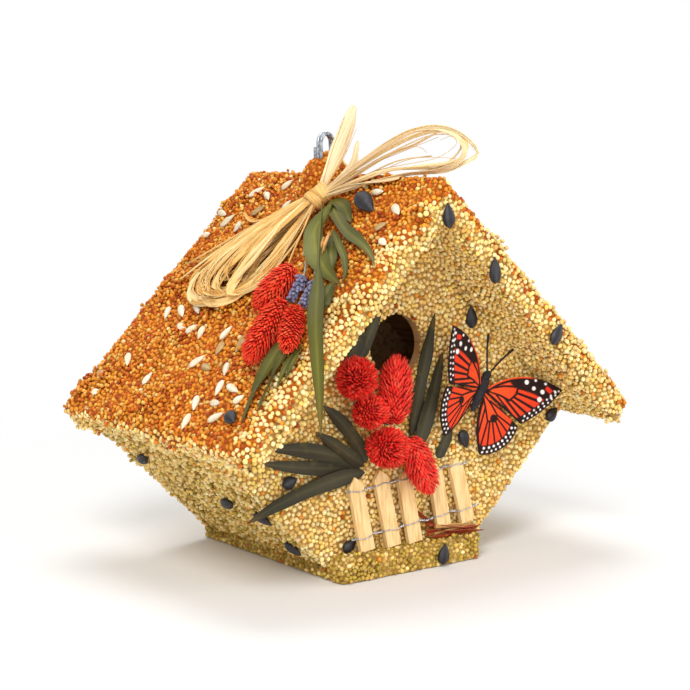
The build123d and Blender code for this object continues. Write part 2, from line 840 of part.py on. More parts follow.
for number, flower in enumerate(face_flower_list, start=1):
    pieces[f"face_flower_{number}"] = spindle(face_frame, *flower, flower_end_radius)
for number, picket in enumerate(picket_list, start=1):
    pieces[f"fence_picket_{number}"] = fence_picket(*picket)

for name, piece in pieces.items():
    piece.label = name
    export_step(piece, f"parts/{name}.step")
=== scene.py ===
# %% [markdown]
# # A birdhouse coated in bird seed
# A plywood box stands on one corner under a steep roof, and every outer face of it is coated in glued
# millet. A raffia bow, dried leaves, dyed grass heads, a small fence and a butterfly dress the front.
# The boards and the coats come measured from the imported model, so this script never moves or resizes
# them: it adds the grains, fibres, leaves and finishes that make them look like the real thing.

# %% Load the measured frame
import math

import bpy
import numpy as np
from mathutils import Matrix, Vector
from mathutils.bvhtree import BVHTree


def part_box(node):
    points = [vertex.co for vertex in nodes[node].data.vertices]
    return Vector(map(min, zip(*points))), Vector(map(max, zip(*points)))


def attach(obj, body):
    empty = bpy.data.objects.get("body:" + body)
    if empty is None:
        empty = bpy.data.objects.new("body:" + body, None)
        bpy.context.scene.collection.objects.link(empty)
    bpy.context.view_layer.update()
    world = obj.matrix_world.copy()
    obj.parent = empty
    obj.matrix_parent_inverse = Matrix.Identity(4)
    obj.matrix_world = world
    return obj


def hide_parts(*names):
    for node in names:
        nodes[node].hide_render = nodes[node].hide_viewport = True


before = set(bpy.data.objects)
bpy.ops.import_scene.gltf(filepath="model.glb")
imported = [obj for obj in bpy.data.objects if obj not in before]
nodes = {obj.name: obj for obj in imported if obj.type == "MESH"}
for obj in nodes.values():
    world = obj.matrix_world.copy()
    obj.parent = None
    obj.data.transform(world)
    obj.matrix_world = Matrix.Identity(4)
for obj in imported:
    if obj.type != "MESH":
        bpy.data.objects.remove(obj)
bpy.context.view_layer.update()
MM = 0.001

# %% [markdown]
# ## Rulers on the faces
# A dressing is laid out on the bench by measuring on the face that carries it: so far down the roof, so
# far towards the front, so far off the seed. One small class keeps such a ruler for each face. Its
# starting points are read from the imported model, so the rulers follow the house if its size changes.

# %% A ruler for each face
def unit(vectors):
    vectors = np.asarray(vectors, float)
    return vectors / np.maximum(np.linalg.norm(vectors, axis=-1, keepdims=True), 1e-12)


class Face:
    """A face with its own ruler in millimetres: along it, up it and off it."""

    def __init__(self, origin, along, up):
        self.origin = np.array(origin, float)
        self.axes = np.array([unit(along), unit(up), np.cross(unit(along), unit(up))])

    def place(self, points):
        return self.origin + MM * np.asarray(points, float) @ self.axes

    def turn(self, directions):
        return np.asarray(directions, float) @ self.axes

    def read(self, points):
        return (points - self.origin) @ self.axes.T / MM


ridge_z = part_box("left_roof_seed_coat")[1].z
front_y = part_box("front_seed_coat")[0].y
porch_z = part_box("porch_seed_coat")[1].z
entrance_z = 94.5 * MM
across_way, up_way = (1, 0, 0), (0, 0, 1)
left_roof = Face((0, 0, ridge_z), (-1, 0, -1), (0, -1, 0))
right_roof = Face((0, 0, ridge_z), (1, 0, -1), (0, 1, 0))
front = Face((0, front_y, porch_z), across_way, up_way)
entrance = Face((0, front_y, entrance_z), across_way, up_way)
print("ridge", round(ridge_z / MM, 1), "front", round(front_y / MM, 1), "porch", round(porch_z / MM, 1))

# %% [markdown]
# ## Writing a finish
# A material could be wired by hand in the node editor. Written in Python it is easier to read when sums
# look like sums, so a small class wraps a socket and lets `1 - mask` or `grain * 0.4` add the Math nodes.
# A second class writes the nodes of a tree, with a single method for every other kind of node, and a
# third holds one material and the few patterns that the finishes here share.

# %% Sockets that can be reckoned with
class Value:
    """A number on a surface: an expression on values adds its Math nodes."""

    def __init__(self, writer, socket):
        self.writer = writer
        self.socket = socket

    def math(self, operation, first, second):
        return self.writer.node("ShaderNodeMath", {"operation": operation}, {0: first, 1: second})

    def __add__(self, other):
        return self.math("ADD", self, other)

    def __sub__(self, other):
        return self.math("SUBTRACT", self, other)

    def __rsub__(self, other):
        return self.math("SUBTRACT", other, self)

    def __mul__(self, other):
        return self.math("MULTIPLY", self, other)

    __radd__ = __add__
    __rmul__ = __mul__

    def ramp(self, low, high):
        """0 below low, 1 above high and a smooth step between them."""
        sockets = {"Value": self, "From Min": low, "From Max": high}
        return self.writer.node("ShaderNodeMapRange", {"interpolation_type": "SMOOTHSTEP"}, sockets)


class Writer:
    """Writes the nodes of one tree."""

    def __init__(self, tree):
        self.tree = tree

    def feed(self, socket, value):
        """Link a value to a socket, or set the socket to a constant."""
        if isinstance(value, Value):
            self.tree.links.new(value.socket, socket)
        else:
            socket.default_value = value

    def node(self, kind, settings=None, sockets=None, output=0):
        """A node of any kind: first its settings, then the values or links of its sockets."""
        node = self.tree.nodes.new(kind)
        for name, setting in (settings or {}).items():
            setattr(node, name, setting)
        for name, value in (sockets or {}).items():
            self.feed(node.inputs[name], value)
        return Value(self, node.outputs[output])


print("sums on sockets are made by", Value.__name__, "and other nodes by", Writer.__name__)

# %% Colours
def linear(*bytes_rgb):
    """A colour as a paint chart gives it, 0 to 255, as the shader's own linear numbers."""
    share = np.array(bytes_rgb, float) / 255
    curve = np.where(share <= 0.04045, share / 12.92, ((share + 0.055) / 1.055) ** 2.4)
    return (*curve.tolist(), 1.0)


def tint_of(*bytes_rgb):
    """The same colour as three numbers for the points of a mesh."""
    return np.array(linear(*bytes_rgb)[:3])


print("a white of a paint chart is", linear(255, 255, 255))

# %% One material being written
class Finish(Writer):
    """One material being written: its colour and feel go to the shader."""

    def __init__(self, name, **constants):
        self.material = bpy.data.materials.new(name)
        self.material.use_nodes = True
        super().__init__(self.material.node_tree)
        self.shader = self.tree.nodes["Principled BSDF"]
        self.wear(**constants)

    def place(self, stretch=(1, 1, 1), source="Object"):
        """Where a point lies on the piece, in metres or on its unrolled map, stretched by axis."""
        spot = self.node("ShaderNodeTexCoord", output=source)
        return self.node("ShaderNodeVectorMath", {"operation": "MULTIPLY"}, {0: spot, 1: stretch})

    def noise(self, scale, detail=2.0, place=None):
        sockets = {"Scale": scale, "Detail": detail, "Vector": place or self.place()}
        return self.node("ShaderNodeTexNoise", None, sockets)

    def mix(self, factor, first, second, blend="MIX"):
        settings = {"data_type": "RGBA", "blend_type": blend}
        return self.node("ShaderNodeMix", settings, {0: factor, 6: first, 7: second}, 2)

    def stain(self, colour, mask, low, high, most, paint, blend="MIX"):
        """Lay a paint over a colour as a mask goes from low to high, to at most a share of it."""
        return self.mix(mask.ramp(low, high) * most, colour, linear(*paint), blend)

    def tint(self):
        """The colour that the mesh itself carries, vertex by vertex."""
        return self.node("ShaderNodeAttribute", {"attribute_name": "tint"}, None, "Color")

    def bump(self, height, distance, strength=0.5):
        sockets = {"Height": height, "Distance": distance, "Strength": strength}
        return self.node("ShaderNodeBump", None, sockets, "Normal")

    def wear(self, **sockets):
        """Feed constants, or what changes over the surface, to the shader, and hand the material over."""
        for name, value in sockets.items():
            self.feed(self.shader.inputs[name.replace("_", " ")], value)
        return self.material


def fine_finish(name, shine, pattern, stain, rough, dents, second=None):
    """A tinted piece under one fine pattern that stains it, varies its shine and dents it."""
    finish = Finish(name, Specular_IOR_Level=shine)
    fine = finish.noise(*pattern)
    colour = finish.stain(finish.tint(), fine, *stain)
    if second:
        colour = finish.stain(colour, finish.noise(*second[0]), *second[1])
    return finish.wear(
        Base_Color=colour, Roughness=rough[0] + fine * rough[1], Normal=finish.bump(fine, *dents)
    )


print("a material is written by", Finish.__name__, "which is also a", Writer.__name__)

# %% [markdown]
# ## Building meshes from many small shapes
# The dressing is thousands of small closed shapes: grains, bracts, strips, blades. Modelling each as an
# object would choke the scene, and one subdivision of a big block would never give them. Here each shape
# is a loft, rings of points from one end to the other, and a pile gathers the lofts of a piece into one
# mesh. Every loft carries its own colours and its own cell of the unrolled map, for baking later.

# %% One mesh, written in bulk
def write_mesh(name, points, corners, sizes, spots, tints):
    """A mesh from flat arrays: its points, each face's corners, their map spots and point colours."""
    mesh = bpy.data.meshes.new(name)
    mesh.vertices.add(len(points))
    mesh.vertices.foreach_set("co", points.astype(np.float32).ravel())
    mesh.loops.add(len(corners))
    mesh.loops.foreach_set("vertex_index", corners.astype(np.int32))
    mesh.polygons.add(len(sizes))
    mesh.polygons.foreach_set("loop_start", (np.cumsum(sizes) - sizes).astype(np.int32))
    mesh.update(calc_edges=True)
    unrolled = mesh.uv_layers.new(name="OFBake")
    unrolled.data.foreach_set("uv", spots.astype(np.float32).ravel())
    colours = mesh.color_attributes.new("tint", "FLOAT_COLOR", "POINT")
    opaque = np.concatenate([tints, np.ones((len(tints), 1))], axis=1)
    colours.data.foreach_set("color", opaque.astype(np.float32).ravel())
    mesh.shade_smooth()
    return mesh


def map_cell(number, total, spots, margin=0.06):
    """Shrink a shape's own map, 0 to 1 both ways, into its cell of the piece's map."""
    columns = math.ceil(math.sqrt(total))
    cell = np.stack([number % columns, number // columns], axis=-1)
    return (cell + margin + (1 - 2 * margin) * spots) / columns


def add_piece(name, mesh, material, stands_for=()):
    """Put a mesh in the scene as a piece of the house, and hide the measured pieces it stands for."""
    piece = bpy.data.objects.new(name, mesh)
    bpy.context.scene.collection.objects.link(piece)
    mesh.materials.append(material)
    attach(piece, "house")
    if stands_for:
        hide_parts(*stands_for)
    print(f"{name}: {len(mesh.polygons)} faces")


print("the third of four map cells starts at", map_cell(np.array(2), 4, np.zeros(2)))

# %% The faces of a loft
def loft_faces(rows, sides):
    """Corners, face sizes and map spots of a closed loft: a band of quads between rings, and two caps."""
    row, side = np.meshgrid(np.arange(rows - 1), np.arange(sides), indexing="ij")
    after = (side + 1) % sides
    here, there = row * sides, (row + 1) * sides
    quads = np.stack([here + side, here + after, there + after, there + side], -1)
    steps = [(side, row), (side + 1, row), (side + 1, row + 1), (side, row + 1)]
    spots = np.stack([np.stack([u / sides, v / (rows - 1)], -1) for u, v in steps], -2)
    first = np.arange(sides)[::-1]
    last = (rows - 1) * sides + np.arange(sides)
    corners = np.concatenate([quads.ravel(), first, last])
    sizes = np.array([4] * ((rows - 1) * sides) + [sides, sides])
    low = np.stack([first / sides, np.zeros(sides)], -1)
    high = np.stack([np.arange(sides) / sides, np.ones(sides)], -1)
    return corners, sizes, np.concatenate([spots.reshape(-1, 2), low, high])


def inside_out(rings):
    """Whether a loft's rings run the wrong way round, so that its faces would look inwards."""
    here = rings - rings.mean((0, 1))
    after = np.roll(here, -1, axis=1)
    first, last = here[:1].mean(1, keepdims=True), here[-1:].mean(1, keepdims=True)
    faces = [
        (here[:-1], after[:-1], after[1:]), (here[:-1], after[1:], here[1:]),
        (first, after[:1], here[:1]), (last, here[-1:], after[-1:]),
    ]
    return sum((np.cross(one, two) * three).sum() for one, two, three in faces) < 0


print("a loft of 5 rings of 6 points has", len(loft_faces(5, 6)[1]), "faces")

# %% A pile of lofts
class Pile:
    """Gathers the lofts of one piece, measured on a face or in metres, with a colour for each point."""

    def __init__(self, place=np.asarray):
        self.place = place
        self.shapes = []

    def add(self, rings, tints):
        rings = self.place(rings)
        tints = np.broadcast_to(tints, rings.shape)
        way = -1 if inside_out(rings) else 1
        self.shapes.append((rings[:, ::way], tints[:, ::way]))

    def put(self, name, material, stands_for=(), sharp=None):
        """Make one piece of all the lofts, with edges kept sharp above an angle in degrees."""
        parts, start = [], 0
        for number, (rings, tints) in enumerate(self.shapes):
            corners, sizes, spots = loft_faces(*rings.shape[:2])
            spots = map_cell(np.array(number), len(self.shapes), spots)
            parts.append((rings.reshape(-1, 3), corners + start, sizes, spots, tints.reshape(-1, 3)))
            start += rings.shape[0] * rings.shape[1]
        mesh = write_mesh(name, *(np.concatenate(part) for part in zip(*parts)))
        if sharp is not None:
            mesh.set_sharp_from_angle(angle=math.radians(sharp))
        add_piece(name, mesh, material, stands_for)


print("a new pile holds", len(Pile().shapes), "lofts")

# %% [markdown]
# ## Paths and sections
# A strip of raffia, a leaf, a twig and a bract are all a section carried along a path. The path is a
# smooth curve through a few points measured on the photograph, and the section is turned to face a
# chosen side. Blender's own curve objects could do this, but a strip that narrows, folds and changes
# colour along its length is easier to shape as rings of points.

# %% Smooth paths and carried sections
def smooth_path(points, rows):
    """A curve through the points, read at evenly spaced rows along it."""
    points = np.asarray(points, float)
    knots = np.concatenate([[0], np.cumsum(np.linalg.norm(np.diff(points, axis=0), axis=1))])
    slopes = np.gradient(points, knots, axis=0) if len(points) > 2 else np.diff(points, axis=0) / knots[1]
    slopes = np.broadcast_to(slopes, points.shape)
    at = np.linspace(0, knots[-1], rows)
    left = np.clip(np.searchsorted(knots, at, "right") - 1, 0, len(points) - 2)
    span = (knots[left + 1] - knots[left])[:, None]
    t = (at - knots[left])[:, None] / span
    start, end = points[left], points[left + 1]
    lead, trail = slopes[left] * span, slopes[left + 1] * span
    return (
        (2 * t**3 - 3 * t**2 + 1) * start
        + (t**3 - 2 * t**2 + t) * lead
        + (3 * t**2 - 2 * t**3) * end
        + (t**3 - t**2) * trail
    )


def carry(path, side, section, twist=0.0):
    """Rings of a section along a path. The section's first number lies along side, its second off it."""
    heading = unit(np.gradient(path, axis=0))
    side = np.broadcast_to(np.asarray(side, float), path.shape)
    across = unit(side - (side * heading).sum(1, keepdims=True) * heading)
    off = np.cross(heading, across)
    turn = np.broadcast_to(np.asarray(twist, float), len(path))[:, None]
    across, off = across * np.cos(turn) + off * np.sin(turn), off * np.cos(turn) - across * np.sin(turn)
    return path[:, None] + section[..., :1] * across[:, None] + section[..., 1:] * off[:, None]


def round_section(radii, sides):
    """Circles of changing radius, one for each row of a path."""
    angle = np.arange(sides) * 2 * np.pi / sides
    return np.asarray(radii, float)[:, None, None] * np.stack([np.cos(angle), np.sin(angle)], -1)


def strip_section(half_widths, thickness, columns, profile):
    """Flat strips of changing width: over the top and back underneath, bent to a profile across it."""
    across = np.linspace(1, -1, columns)
    widths = np.asarray(half_widths, float)[:, None]
    bend = profile(across) * widths
    top = np.stack([across * widths, bend + thickness / 2], -1)
    below = np.stack([across * widths, bend - thickness / 2], -1)[:, ::-1]
    return np.concatenate([top, below], axis=1)


print("a test path of", len(smooth_path([(0, 0, 0), (1, 0, 0), (1, 1, 0)], 9)), "rows")

# %% [markdown]
# ## Where the grains lie
# On the real house a board is brushed with glue and pressed into loose millet, so the grains crowd
# together in one ragged layer with dark glue between them. A bump map would look painted on, and a
# regular grid would look woven. Spots are thrown at random on each coat instead, and one is kept only if
# it clears its neighbours; later spots may be smaller, so that they fill the gaps. Faces that are pressed
# against a board or another coat get no grains.

# %% Measure the coats
structure = [name for name in nodes if name.endswith(("_coat", "_board", "_panel", "_wall", "_plug"))]
hanger_low, hanger_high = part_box("hanger_wire")
hanger_y = (hanger_low.y + hanger_high.y) / 2
wire_half = 0.8 * MM
leg_x = (hanger_high.x - hanger_low.x) / 2 - wire_half
leg_span = 2.2 * MM
leg_clear = 2.5 * MM
pressed = 0.28 * MM


def triangles_of(names):
    """The corners of all the triangles of some measured pieces, in metres."""
    found = []
    for name in names:
        mesh = nodes[name].data
        mesh.calc_loop_triangles()
        points = np.empty(len(mesh.vertices) * 3)
        mesh.vertices.foreach_get("co", points)
        index = np.empty(len(mesh.loop_triangles) * 3, np.int32)
        mesh.loop_triangles.foreach_get("vertices", index)
        found.append(points.reshape(-1, 3)[index.reshape(-1, 3)])
    return np.concatenate(found)


def tree_of(triangles):
    """A tree that finds the nearest point on some triangles quickly."""
    points = triangles.reshape(-1, 3)
    faces = np.arange(len(points)).reshape(-1, 3)
    return BVHTree.FromPolygons(points.tolist(), faces.tolist())


def off_hanger(spots):
    """How far spots are from the hanger's legs, which have to slide freely."""
    beside = np.abs(np.abs(spots[:, 0]) - leg_x)
    ahead = np.maximum(np.abs(spots[:, 1] - hanger_y) - leg_span, 0)
    return np.hypot(beside, ahead)


print(len(structure), "boards and coats carry or cover the seed")

# %% Throw spots on a coat
def throw_spots(random, coat, per_square_mm):
    """Random spots on a coat's open faces, away from the hanger: where they are and which way is out."""
    triangles = triangles_of([coat])
    edge, other = triangles[:, 1] - triangles[:, 0], triangles[:, 2] - triangles[:, 0]
    normal = np.cross(edge, other)
    area = np.linalg.norm(normal, axis=1) / 2
    count = int(area.sum() / MM**2 * per_square_mm)
    pick = random.choice(len(area), count, p=area / area.sum())
    share = random.random((count, 2))
    share = np.where(share.sum(1, keepdims=True) > 1, 1 - share, share)
    spots = triangles[pick, 0] + share[:, :1] * edge[pick] + share[:, 1:] * other[pick]
    free = off_hanger(spots) > leg_clear
    neighbours = tree_of(triangles_of([name for name in structure if name != coat]))
    free &= np.array([neighbours.find_nearest(spot, pressed)[0] is None for spot in spots.tolist()])
    return spots[free], unit(normal[pick])[free]


print("spots keep", leg_clear / MM, "mm clear of the hanger's legs")

# %% Keep the spots that clear each other
steps_round = [(x, y, z) for x in (-1, 0, 1) for y in (-1, 0, 1) for z in (-1, 0, 1)]


def clears(x, y, z, own, near):
    """Whether a spot keeps its own reach clear of those near it."""
    return all(
        (x - px) ** 2 + (y - py) ** 2 + (z - pz) ** 2 >= (own + other) ** 2
        for px, py, pz, other in near
    )


def settle(spots, reach):
    """Which spots stay, in order, when each keeps its own reach clear of those before it."""
    cell = 2 * reach.max()
    grid, kept = {}, []
    cells = np.floor(spots / cell).astype(int).tolist()
    for number, ((i, j, k), (x, y, z), own) in enumerate(zip(cells, spots.tolist(), reach.tolist())):
        near = (spot for di, dj, dk in steps_round for spot in grid.get((i + di, j + dj, k + dk), ()))
        if clears(x, y, z, own, near):
            grid.setdefault((i, j, k), []).append((x, y, z, own))
            kept.append(number)
    return np.array(kept)


print("two spots that touch leave", len(settle(np.zeros((2, 3)), np.full(2, MM))))

# %% [markdown]
# ## The grains themselves
# White millet is nearly round, red-gold millet is smaller and longer, and a tan mix is used low down.
# Each grain is a small egg of rings, pressed a random depth into the glue and tilted a little. Its colour
# is drawn from a few colours of real millet, and it is painted darker towards its foot, for the glue and for
# the shade where it meets the coat, and a little lighter on top as painted light. All the grains of a coat
# are written at once as arrays, because tens of thousands of objects would be too many.

# %% Kinds of millet
CREAM, GOLD, TAN = 0, 1, 2
# length, breadth and height of a grain of each kind, in mm, and how far it tilts
grain_size = np.array([(2.25, 2.1, 1.85), (2.4, 1.75, 1.6), (2.2, 1.9, 1.7)])
grain_tilt = np.array([0.22, 0.35, 0.22])
grain_colours = {
    CREAM: [(247, 216, 140), (250, 228, 166), (240, 202, 120),
            (241, 206, 108), (223, 178, 96), (234, 148, 48)],
    GOLD: [(218, 132, 28), (230, 154, 48), (204, 104, 14),
           (172, 72, 10), (242, 188, 88), (218, 178, 98)],
    TAN: [(195, 162, 74), (179, 147, 59), (207, 179, 96),
          (158, 126, 45), (197, 169, 69), (186, 107, 41)],
}
grain_shares = {
    CREAM: [0.37, 0.25, 0.18, 0.11, 0.08, 0.01],
    GOLD: [0.30, 0.24, 0.18, 0.12, 0.13, 0.03],
    TAN: [0.30, 0.24, 0.22, 0.12, 0.10, 0.02],
}
print(len(grain_size), "kinds of millet, in", sum(map(len, grain_colours.values())), "colours")

# %% One grain
grain_sides = 8
grain_rings = np.radians([46, 2, -46])


def grain_template():
    """One egg: two poles and three rings, with its faces and map spots."""
    angle = np.arange(grain_sides) * 2 * np.pi / grain_sides
    circle = np.stack([np.cos(angle), np.sin(angle)], -1)
    rings = [np.column_stack([circle * np.cos(e), np.full(grain_sides, np.sin(e))]) for e in grain_rings]
    points = np.concatenate([[(0, 0, 1)], *rings, [(0, 0, -1)]])
    corners, sizes, spots = [], [], []
    bottom = len(points) - 1
    for side in range(grain_sides):
        after = (side + 1) % grain_sides
        u, v = side / grain_sides, (side + 1) / grain_sides
        corners += [0, 1 + side, 1 + after]
        spots += [((u + v) / 2, 1), (u, 0.75), (v, 0.75)]
        sizes.append(3)
        for ring in range(len(grain_rings) - 1):
            high, low = 1 + ring * grain_sides, 1 + (ring + 1) * grain_sides
            corners += [high + side, low + side, low + after, high + after]
            top, base = 0.75 - 0.25 * ring, 0.5 - 0.25 * ring
            spots += [(u, top), (u, base), (v, base), (v, top)]
            sizes.append(4)
        last = 1 + (len(grain_rings) - 1) * grain_sides
        corners += [bottom, last + after, last + side]
        spots += [((u + v) / 2, 0), (v, 0.25), (u, 0.25)]
        sizes.append(3)
    return points, np.array(corners), np.array(sizes), np.array(spots)


egg_points, egg_corners, egg_sizes, egg_spots = grain_template()
print("one grain has", len(egg_points), "points and", len(egg_sizes), "faces")

# %% Turn spots into grains
size_spread, shade_spread, hue_spread = 0.09, 0.1, 0.03
# how far a grain's middle is off the glue, as shares of its height, and how much deeper a small one sits
least_rise, most_rise, small_sink = -0.08, 0.24, 0.9
under_tray = 0.3
# how dark a grain is painted from its foot, at -1, to its top: glue and painted shade low down, a little
# painted light on top
foot_shade_at, glue_and_painted_shade = [-1, -0.5, 0.1, 0.7, 1], [0.5, 0.62, 0.92, 1.0, 1.04]


def turned_axes(random, normals, tilt):
    """A frame for each grain: its height near the face's normal, its length any way along the face."""
    lean = unit(normals + tilt * random.normal(size=normals.shape))
    side = unit(np.cross(lean, random.normal(size=normals.shape)))
    return np.stack([side, np.cross(lean, side), lean], axis=1)


def grain_mesh(name, random, spots, normals, kinds, scales):
    """All the grains on some spots, as one mesh."""
    count = len(spots)
    size = grain_size[kinds] * scales[:, None] * (1 + size_spread * random.normal(size=(count, 3)))
    axes = turned_axes(random, normals, grain_tilt[kinds][:, None])
    height = size[:, 2] * random.uniform(least_rise, most_rise, count) - (1 - scales) * small_sink
    centres = spots + MM * height[:, None] * normals
    centres[:, 2] = np.maximum(centres[:, 2], MM * (size.max(1) / 2 - under_tray))
    points = centres[:, None] + MM * np.einsum("pa,na,nac->npc", egg_points, size / 2, axes)
    tints = np.empty((count, 3))
    for kind, chart in grain_colours.items():
        chosen = np.flatnonzero(kinds == kind)
        picked = random.choice(len(chart), len(chosen), p=grain_shares[kind])
        tints[chosen] = np.array([tint_of(*colour) for colour in chart])[picked]
    tints *= 1 + shade_spread * random.normal(size=(count, 1)) + hue_spread * random.normal(size=(count, 3))
    # painted shade: each grain darker towards its foot, for the glue and the shade there, and lighter on top
    glue = np.interp(egg_points[:, 2], foot_shade_at, glue_and_painted_shade)
    tints = np.clip(tints[:, None] * glue[None, :, None], 0, 1).reshape(-1, 3)
    corners = (egg_corners[None] + np.arange(count)[:, None] * len(egg_points)).ravel()
    unrolled = map_cell(np.arange(count)[:, None], count, egg_spots[None]).reshape(-1, 2)
    return write_mesh(name, points.reshape(-1, 3), corners, np.tile(egg_sizes, count), unrolled, tints)


print("grains lie from", least_rise, "to", most_rise, "of their height off the glue")

# %% Lumps of glue and heaps of grains
lump_random = np.random.default_rng(3)
lump_count, lump_span, lump_scale = 9, 5.5 * MM, 2.1
lump_ways = lump_random.normal(size=(lump_count, 3)) / lump_span
lump_starts = lump_random.uniform(0, 2 * np.pi, lump_count)
heap_from, heap_noise, heap_apart = 1.4, 0.6, 1.1
heap_floor, heap_leg_clear = 4 * MM, leg_clear + 1.5 * MM


def lumps(spots):
    """How thickly the glue was brushed on: a slow, uneven swelling, mostly from -2 to 2."""
    return np.sin(spots @ lump_ways.T + lump_starts).sum(1) / lump_scale


def heap_up(random, spots, reach):
    """Which spots carry a second grain, where the glue is thick, clear of the hanger and the floor."""
    thick = lumps(spots) + heap_noise * random.normal(size=len(spots)) > heap_from
    heap = np.flatnonzero(thick & (spots[:, 2] > heap_floor) & (off_hanger(spots) > heap_leg_clear))
    return heap[settle(spots[heap], reach[heap] * heap_apart)]


print(lump_count, "waves swell the glue, and grains heap up above", heap_floor / MM, "mm")

# %% Cover a coat
throws_per_square_mm = 3.2
grain_clear = 0.4
# the first spots are full grains, and the later ones smaller and smaller
fill_from, fill_scale = [0.5, 0.75], np.array([1.0, 0.88, 0.76])
most_grains = 4100
heap_rise, heap_stray = 1.15, 0.4
# leaves and heads are glued on the front, so the seed there is pressed flat
pressed_flat = ("front_seed_coat",)
swelling, pressed_swelling = 0.35, 0.12
# where the glue is thin the grains sink no further than this, so that they stay in sight
thinnest = -0.6


def coat_with_grains(coat, kind_at, material, seed):
    """Cover a coat's open faces with grains, in as many meshes as keep each one a modest size."""
    random = np.random.default_rng(seed)
    spots, normals = throw_spots(random, coat, throws_per_square_mm)
    kinds = kind_at(random, spots)
    turn = np.arange(len(spots)) / len(spots)
    scales = fill_scale[np.digitize(turn, fill_from)]
    reach = MM * grain_size[kinds, :2].mean(1) * scales * grain_clear
    kept = settle(spots, reach)
    heap = kept[heap_up(random, spots[kept], reach[kept])]
    flat = coat in pressed_flat
    if flat:
        heap = heap[:0]
    pushed = heap_rise * normals[heap] + heap_stray * random.normal(size=(len(heap), 3))
    swell = (pressed_swelling if flat else swelling) * MM
    spots = spots + swell * np.maximum(lumps(spots), thinnest)[:, None] * normals
    placed = np.concatenate([spots[kept], spots[heap] + MM * pushed])
    chosen = np.concatenate([kept, heap])
    order = np.argsort(placed[:, 1], kind="stable")
    groups = np.array_split(order, math.ceil(len(order) / most_grains))
    name = coat.replace("_seed_coat", "").replace("_seed_plug", "_plug")
    for number, group in enumerate(groups, start=1):
        label = f"{name}_grains" if len(groups) == 1 else f"{name}_grains_{number}"
        pick = chosen[group]
        mesh = grain_mesh(label, random, placed[group], normals[pick], kinds[pick], scales[pick])
        add_piece(label, mesh, material)
    return len(order)


print("a mesh holds at most", most_grains, "grains")

# %% [markdown]
# ## The grains' finish
# A grain of millet is hard and a little waxy: a soft highlight, a faint mottle, and no two quite alike.
# The colour comes from the mesh, where each grain has its own, and the nodes only mottle it and vary the
# shine. Between the grains the coat itself shows as glue, with crumbs of husk in it.

# %% Waxy grain and husky glue
def husky_glue(name, dark, light):
    finish = Finish(name, Specular_IOR_Level=0.12)
    crumbs = finish.node("ShaderNodeTexVoronoi", None, {"Scale": 620.0, "Vector": finish.place()}, "Distance")
    blotch = finish.noise(160, 3)
    colour = finish.mix((1 - crumbs.ramp(0.1, 0.6)) * 0.75, linear(*dark), linear(*light))
    colour = finish.stain(colour, blotch, 0.4, 0.7, 0.5, dark)
    relief = finish.bump(1 - crumbs, 0.0007, 0.8)
    return finish.wear(Base_Color=colour, Roughness=0.6 + blotch * 0.25, Normal=relief)


grain_finish = fine_finish(
    "waxy_grain", 0.25, (900, 3), (0.4, 0.75, 0.3, (214, 168, 108), "MULTIPLY"), (0.4, 0.25), (0.0002, 0.35),
    ((3200, 1), (0.62, 0.8, 0.3, (255, 246, 214), "SOFT_LIGHT")),
)
pale_glue = husky_glue("pale_husky_glue", (166, 126, 64), (224, 190, 122))
gold_glue = husky_glue("gold_husky_glue", (156, 78, 14), (218, 134, 36))
print("finishes:", grain_finish.name, pale_glue.name, gold_glue.name)

# %% [markdown]
# ## Which millet goes where
# The roof is pressed into red-gold millet, but the maker wraps white millet over its front edge and its
# eave, so a ragged pale band runs round it. The front, back, rims and walls are white millet with a stray
# gold grain here and there, and the floor tray, which is dipped last, is a tan mix.

# %% Rules for each coat
rim_y = -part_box("left_roof_seed_coat")[0].y / MM
eave_down = left_roof.read(np.array(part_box("left_roof_seed_coat")[0]))[0]
# how wide the roof's pale front band is at these places down the slope, in mm
band_down, band_width = [0, 22, 45, 80, 130], [-2.0, 0.5, 8.0, 11.5, 9.0]
eave_band = 1.6
gap_from = 1.4
roof_stray, rim_stray = 0.012, 0.02
rim_gold_depth, rim_gold_share = -5.2, 0.4
# the share of tan grains on the walls, low down and high up
tan_height, tan_share = [10, 60], [0.5, 0.2]


def ragged(random, spots, spread):
    return spread * random.normal(size=len(spots))


def roof_kinds(face):
    """Red-gold millet, with a pale band that widens down the front edge and a thin one at the eave."""

    def kinds(random, spots):
        down = face.read(spots)[:, 0]
        from_edge = rim_y + spots[:, 1] / MM
        wave = 2.2 * np.sin(down * 0.19) + 1.4 * np.sin(down * 0.47 + 1)
        band = np.interp(down, band_down, band_width) + wave
        pale = from_edge + ragged(random, spots, 1.6) < band
        pale &= lumps(spots * 1.7) + ragged(random, spots, 0.5) < gap_from
        pale |= eave_down - down + ragged(random, spots, 0.8) < eave_band
        pale |= random.random(len(spots)) < roof_stray
        return np.where(pale, CREAM, GOLD)

    return kinds


def mostly(kind, stray, share):
    """One kind, with a share of strays."""

    def kinds(random, spots):
        return np.where(random.random(len(spots)) < share, stray, kind)

    return kinds


def rim_kinds(random, spots):
    """White millet, with gold grains strewn along the roof's upper edge."""
    side = np.where(spots[:, 0] < 0, -1, 1)
    off = ((spots[:, 2] - ridge_z) + side * spots[:, 0]) / math.sqrt(2) / MM
    gold = (off > rim_gold_depth) & (random.random(len(spots)) < rim_gold_share)
    return np.where(gold | (random.random(len(spots)) < rim_stray), GOLD, CREAM)


def wall_kinds(random, spots):
    """White millet, with more tan in it towards the tray."""
    share = np.interp(spots[:, 2] / MM, tan_height, tan_share)
    return np.where(random.random(len(spots)) < share, TAN, CREAM)


print("the roof runs", round(eave_down, 1), "mm down and", round(rim_y, 1), "mm to its front edge")

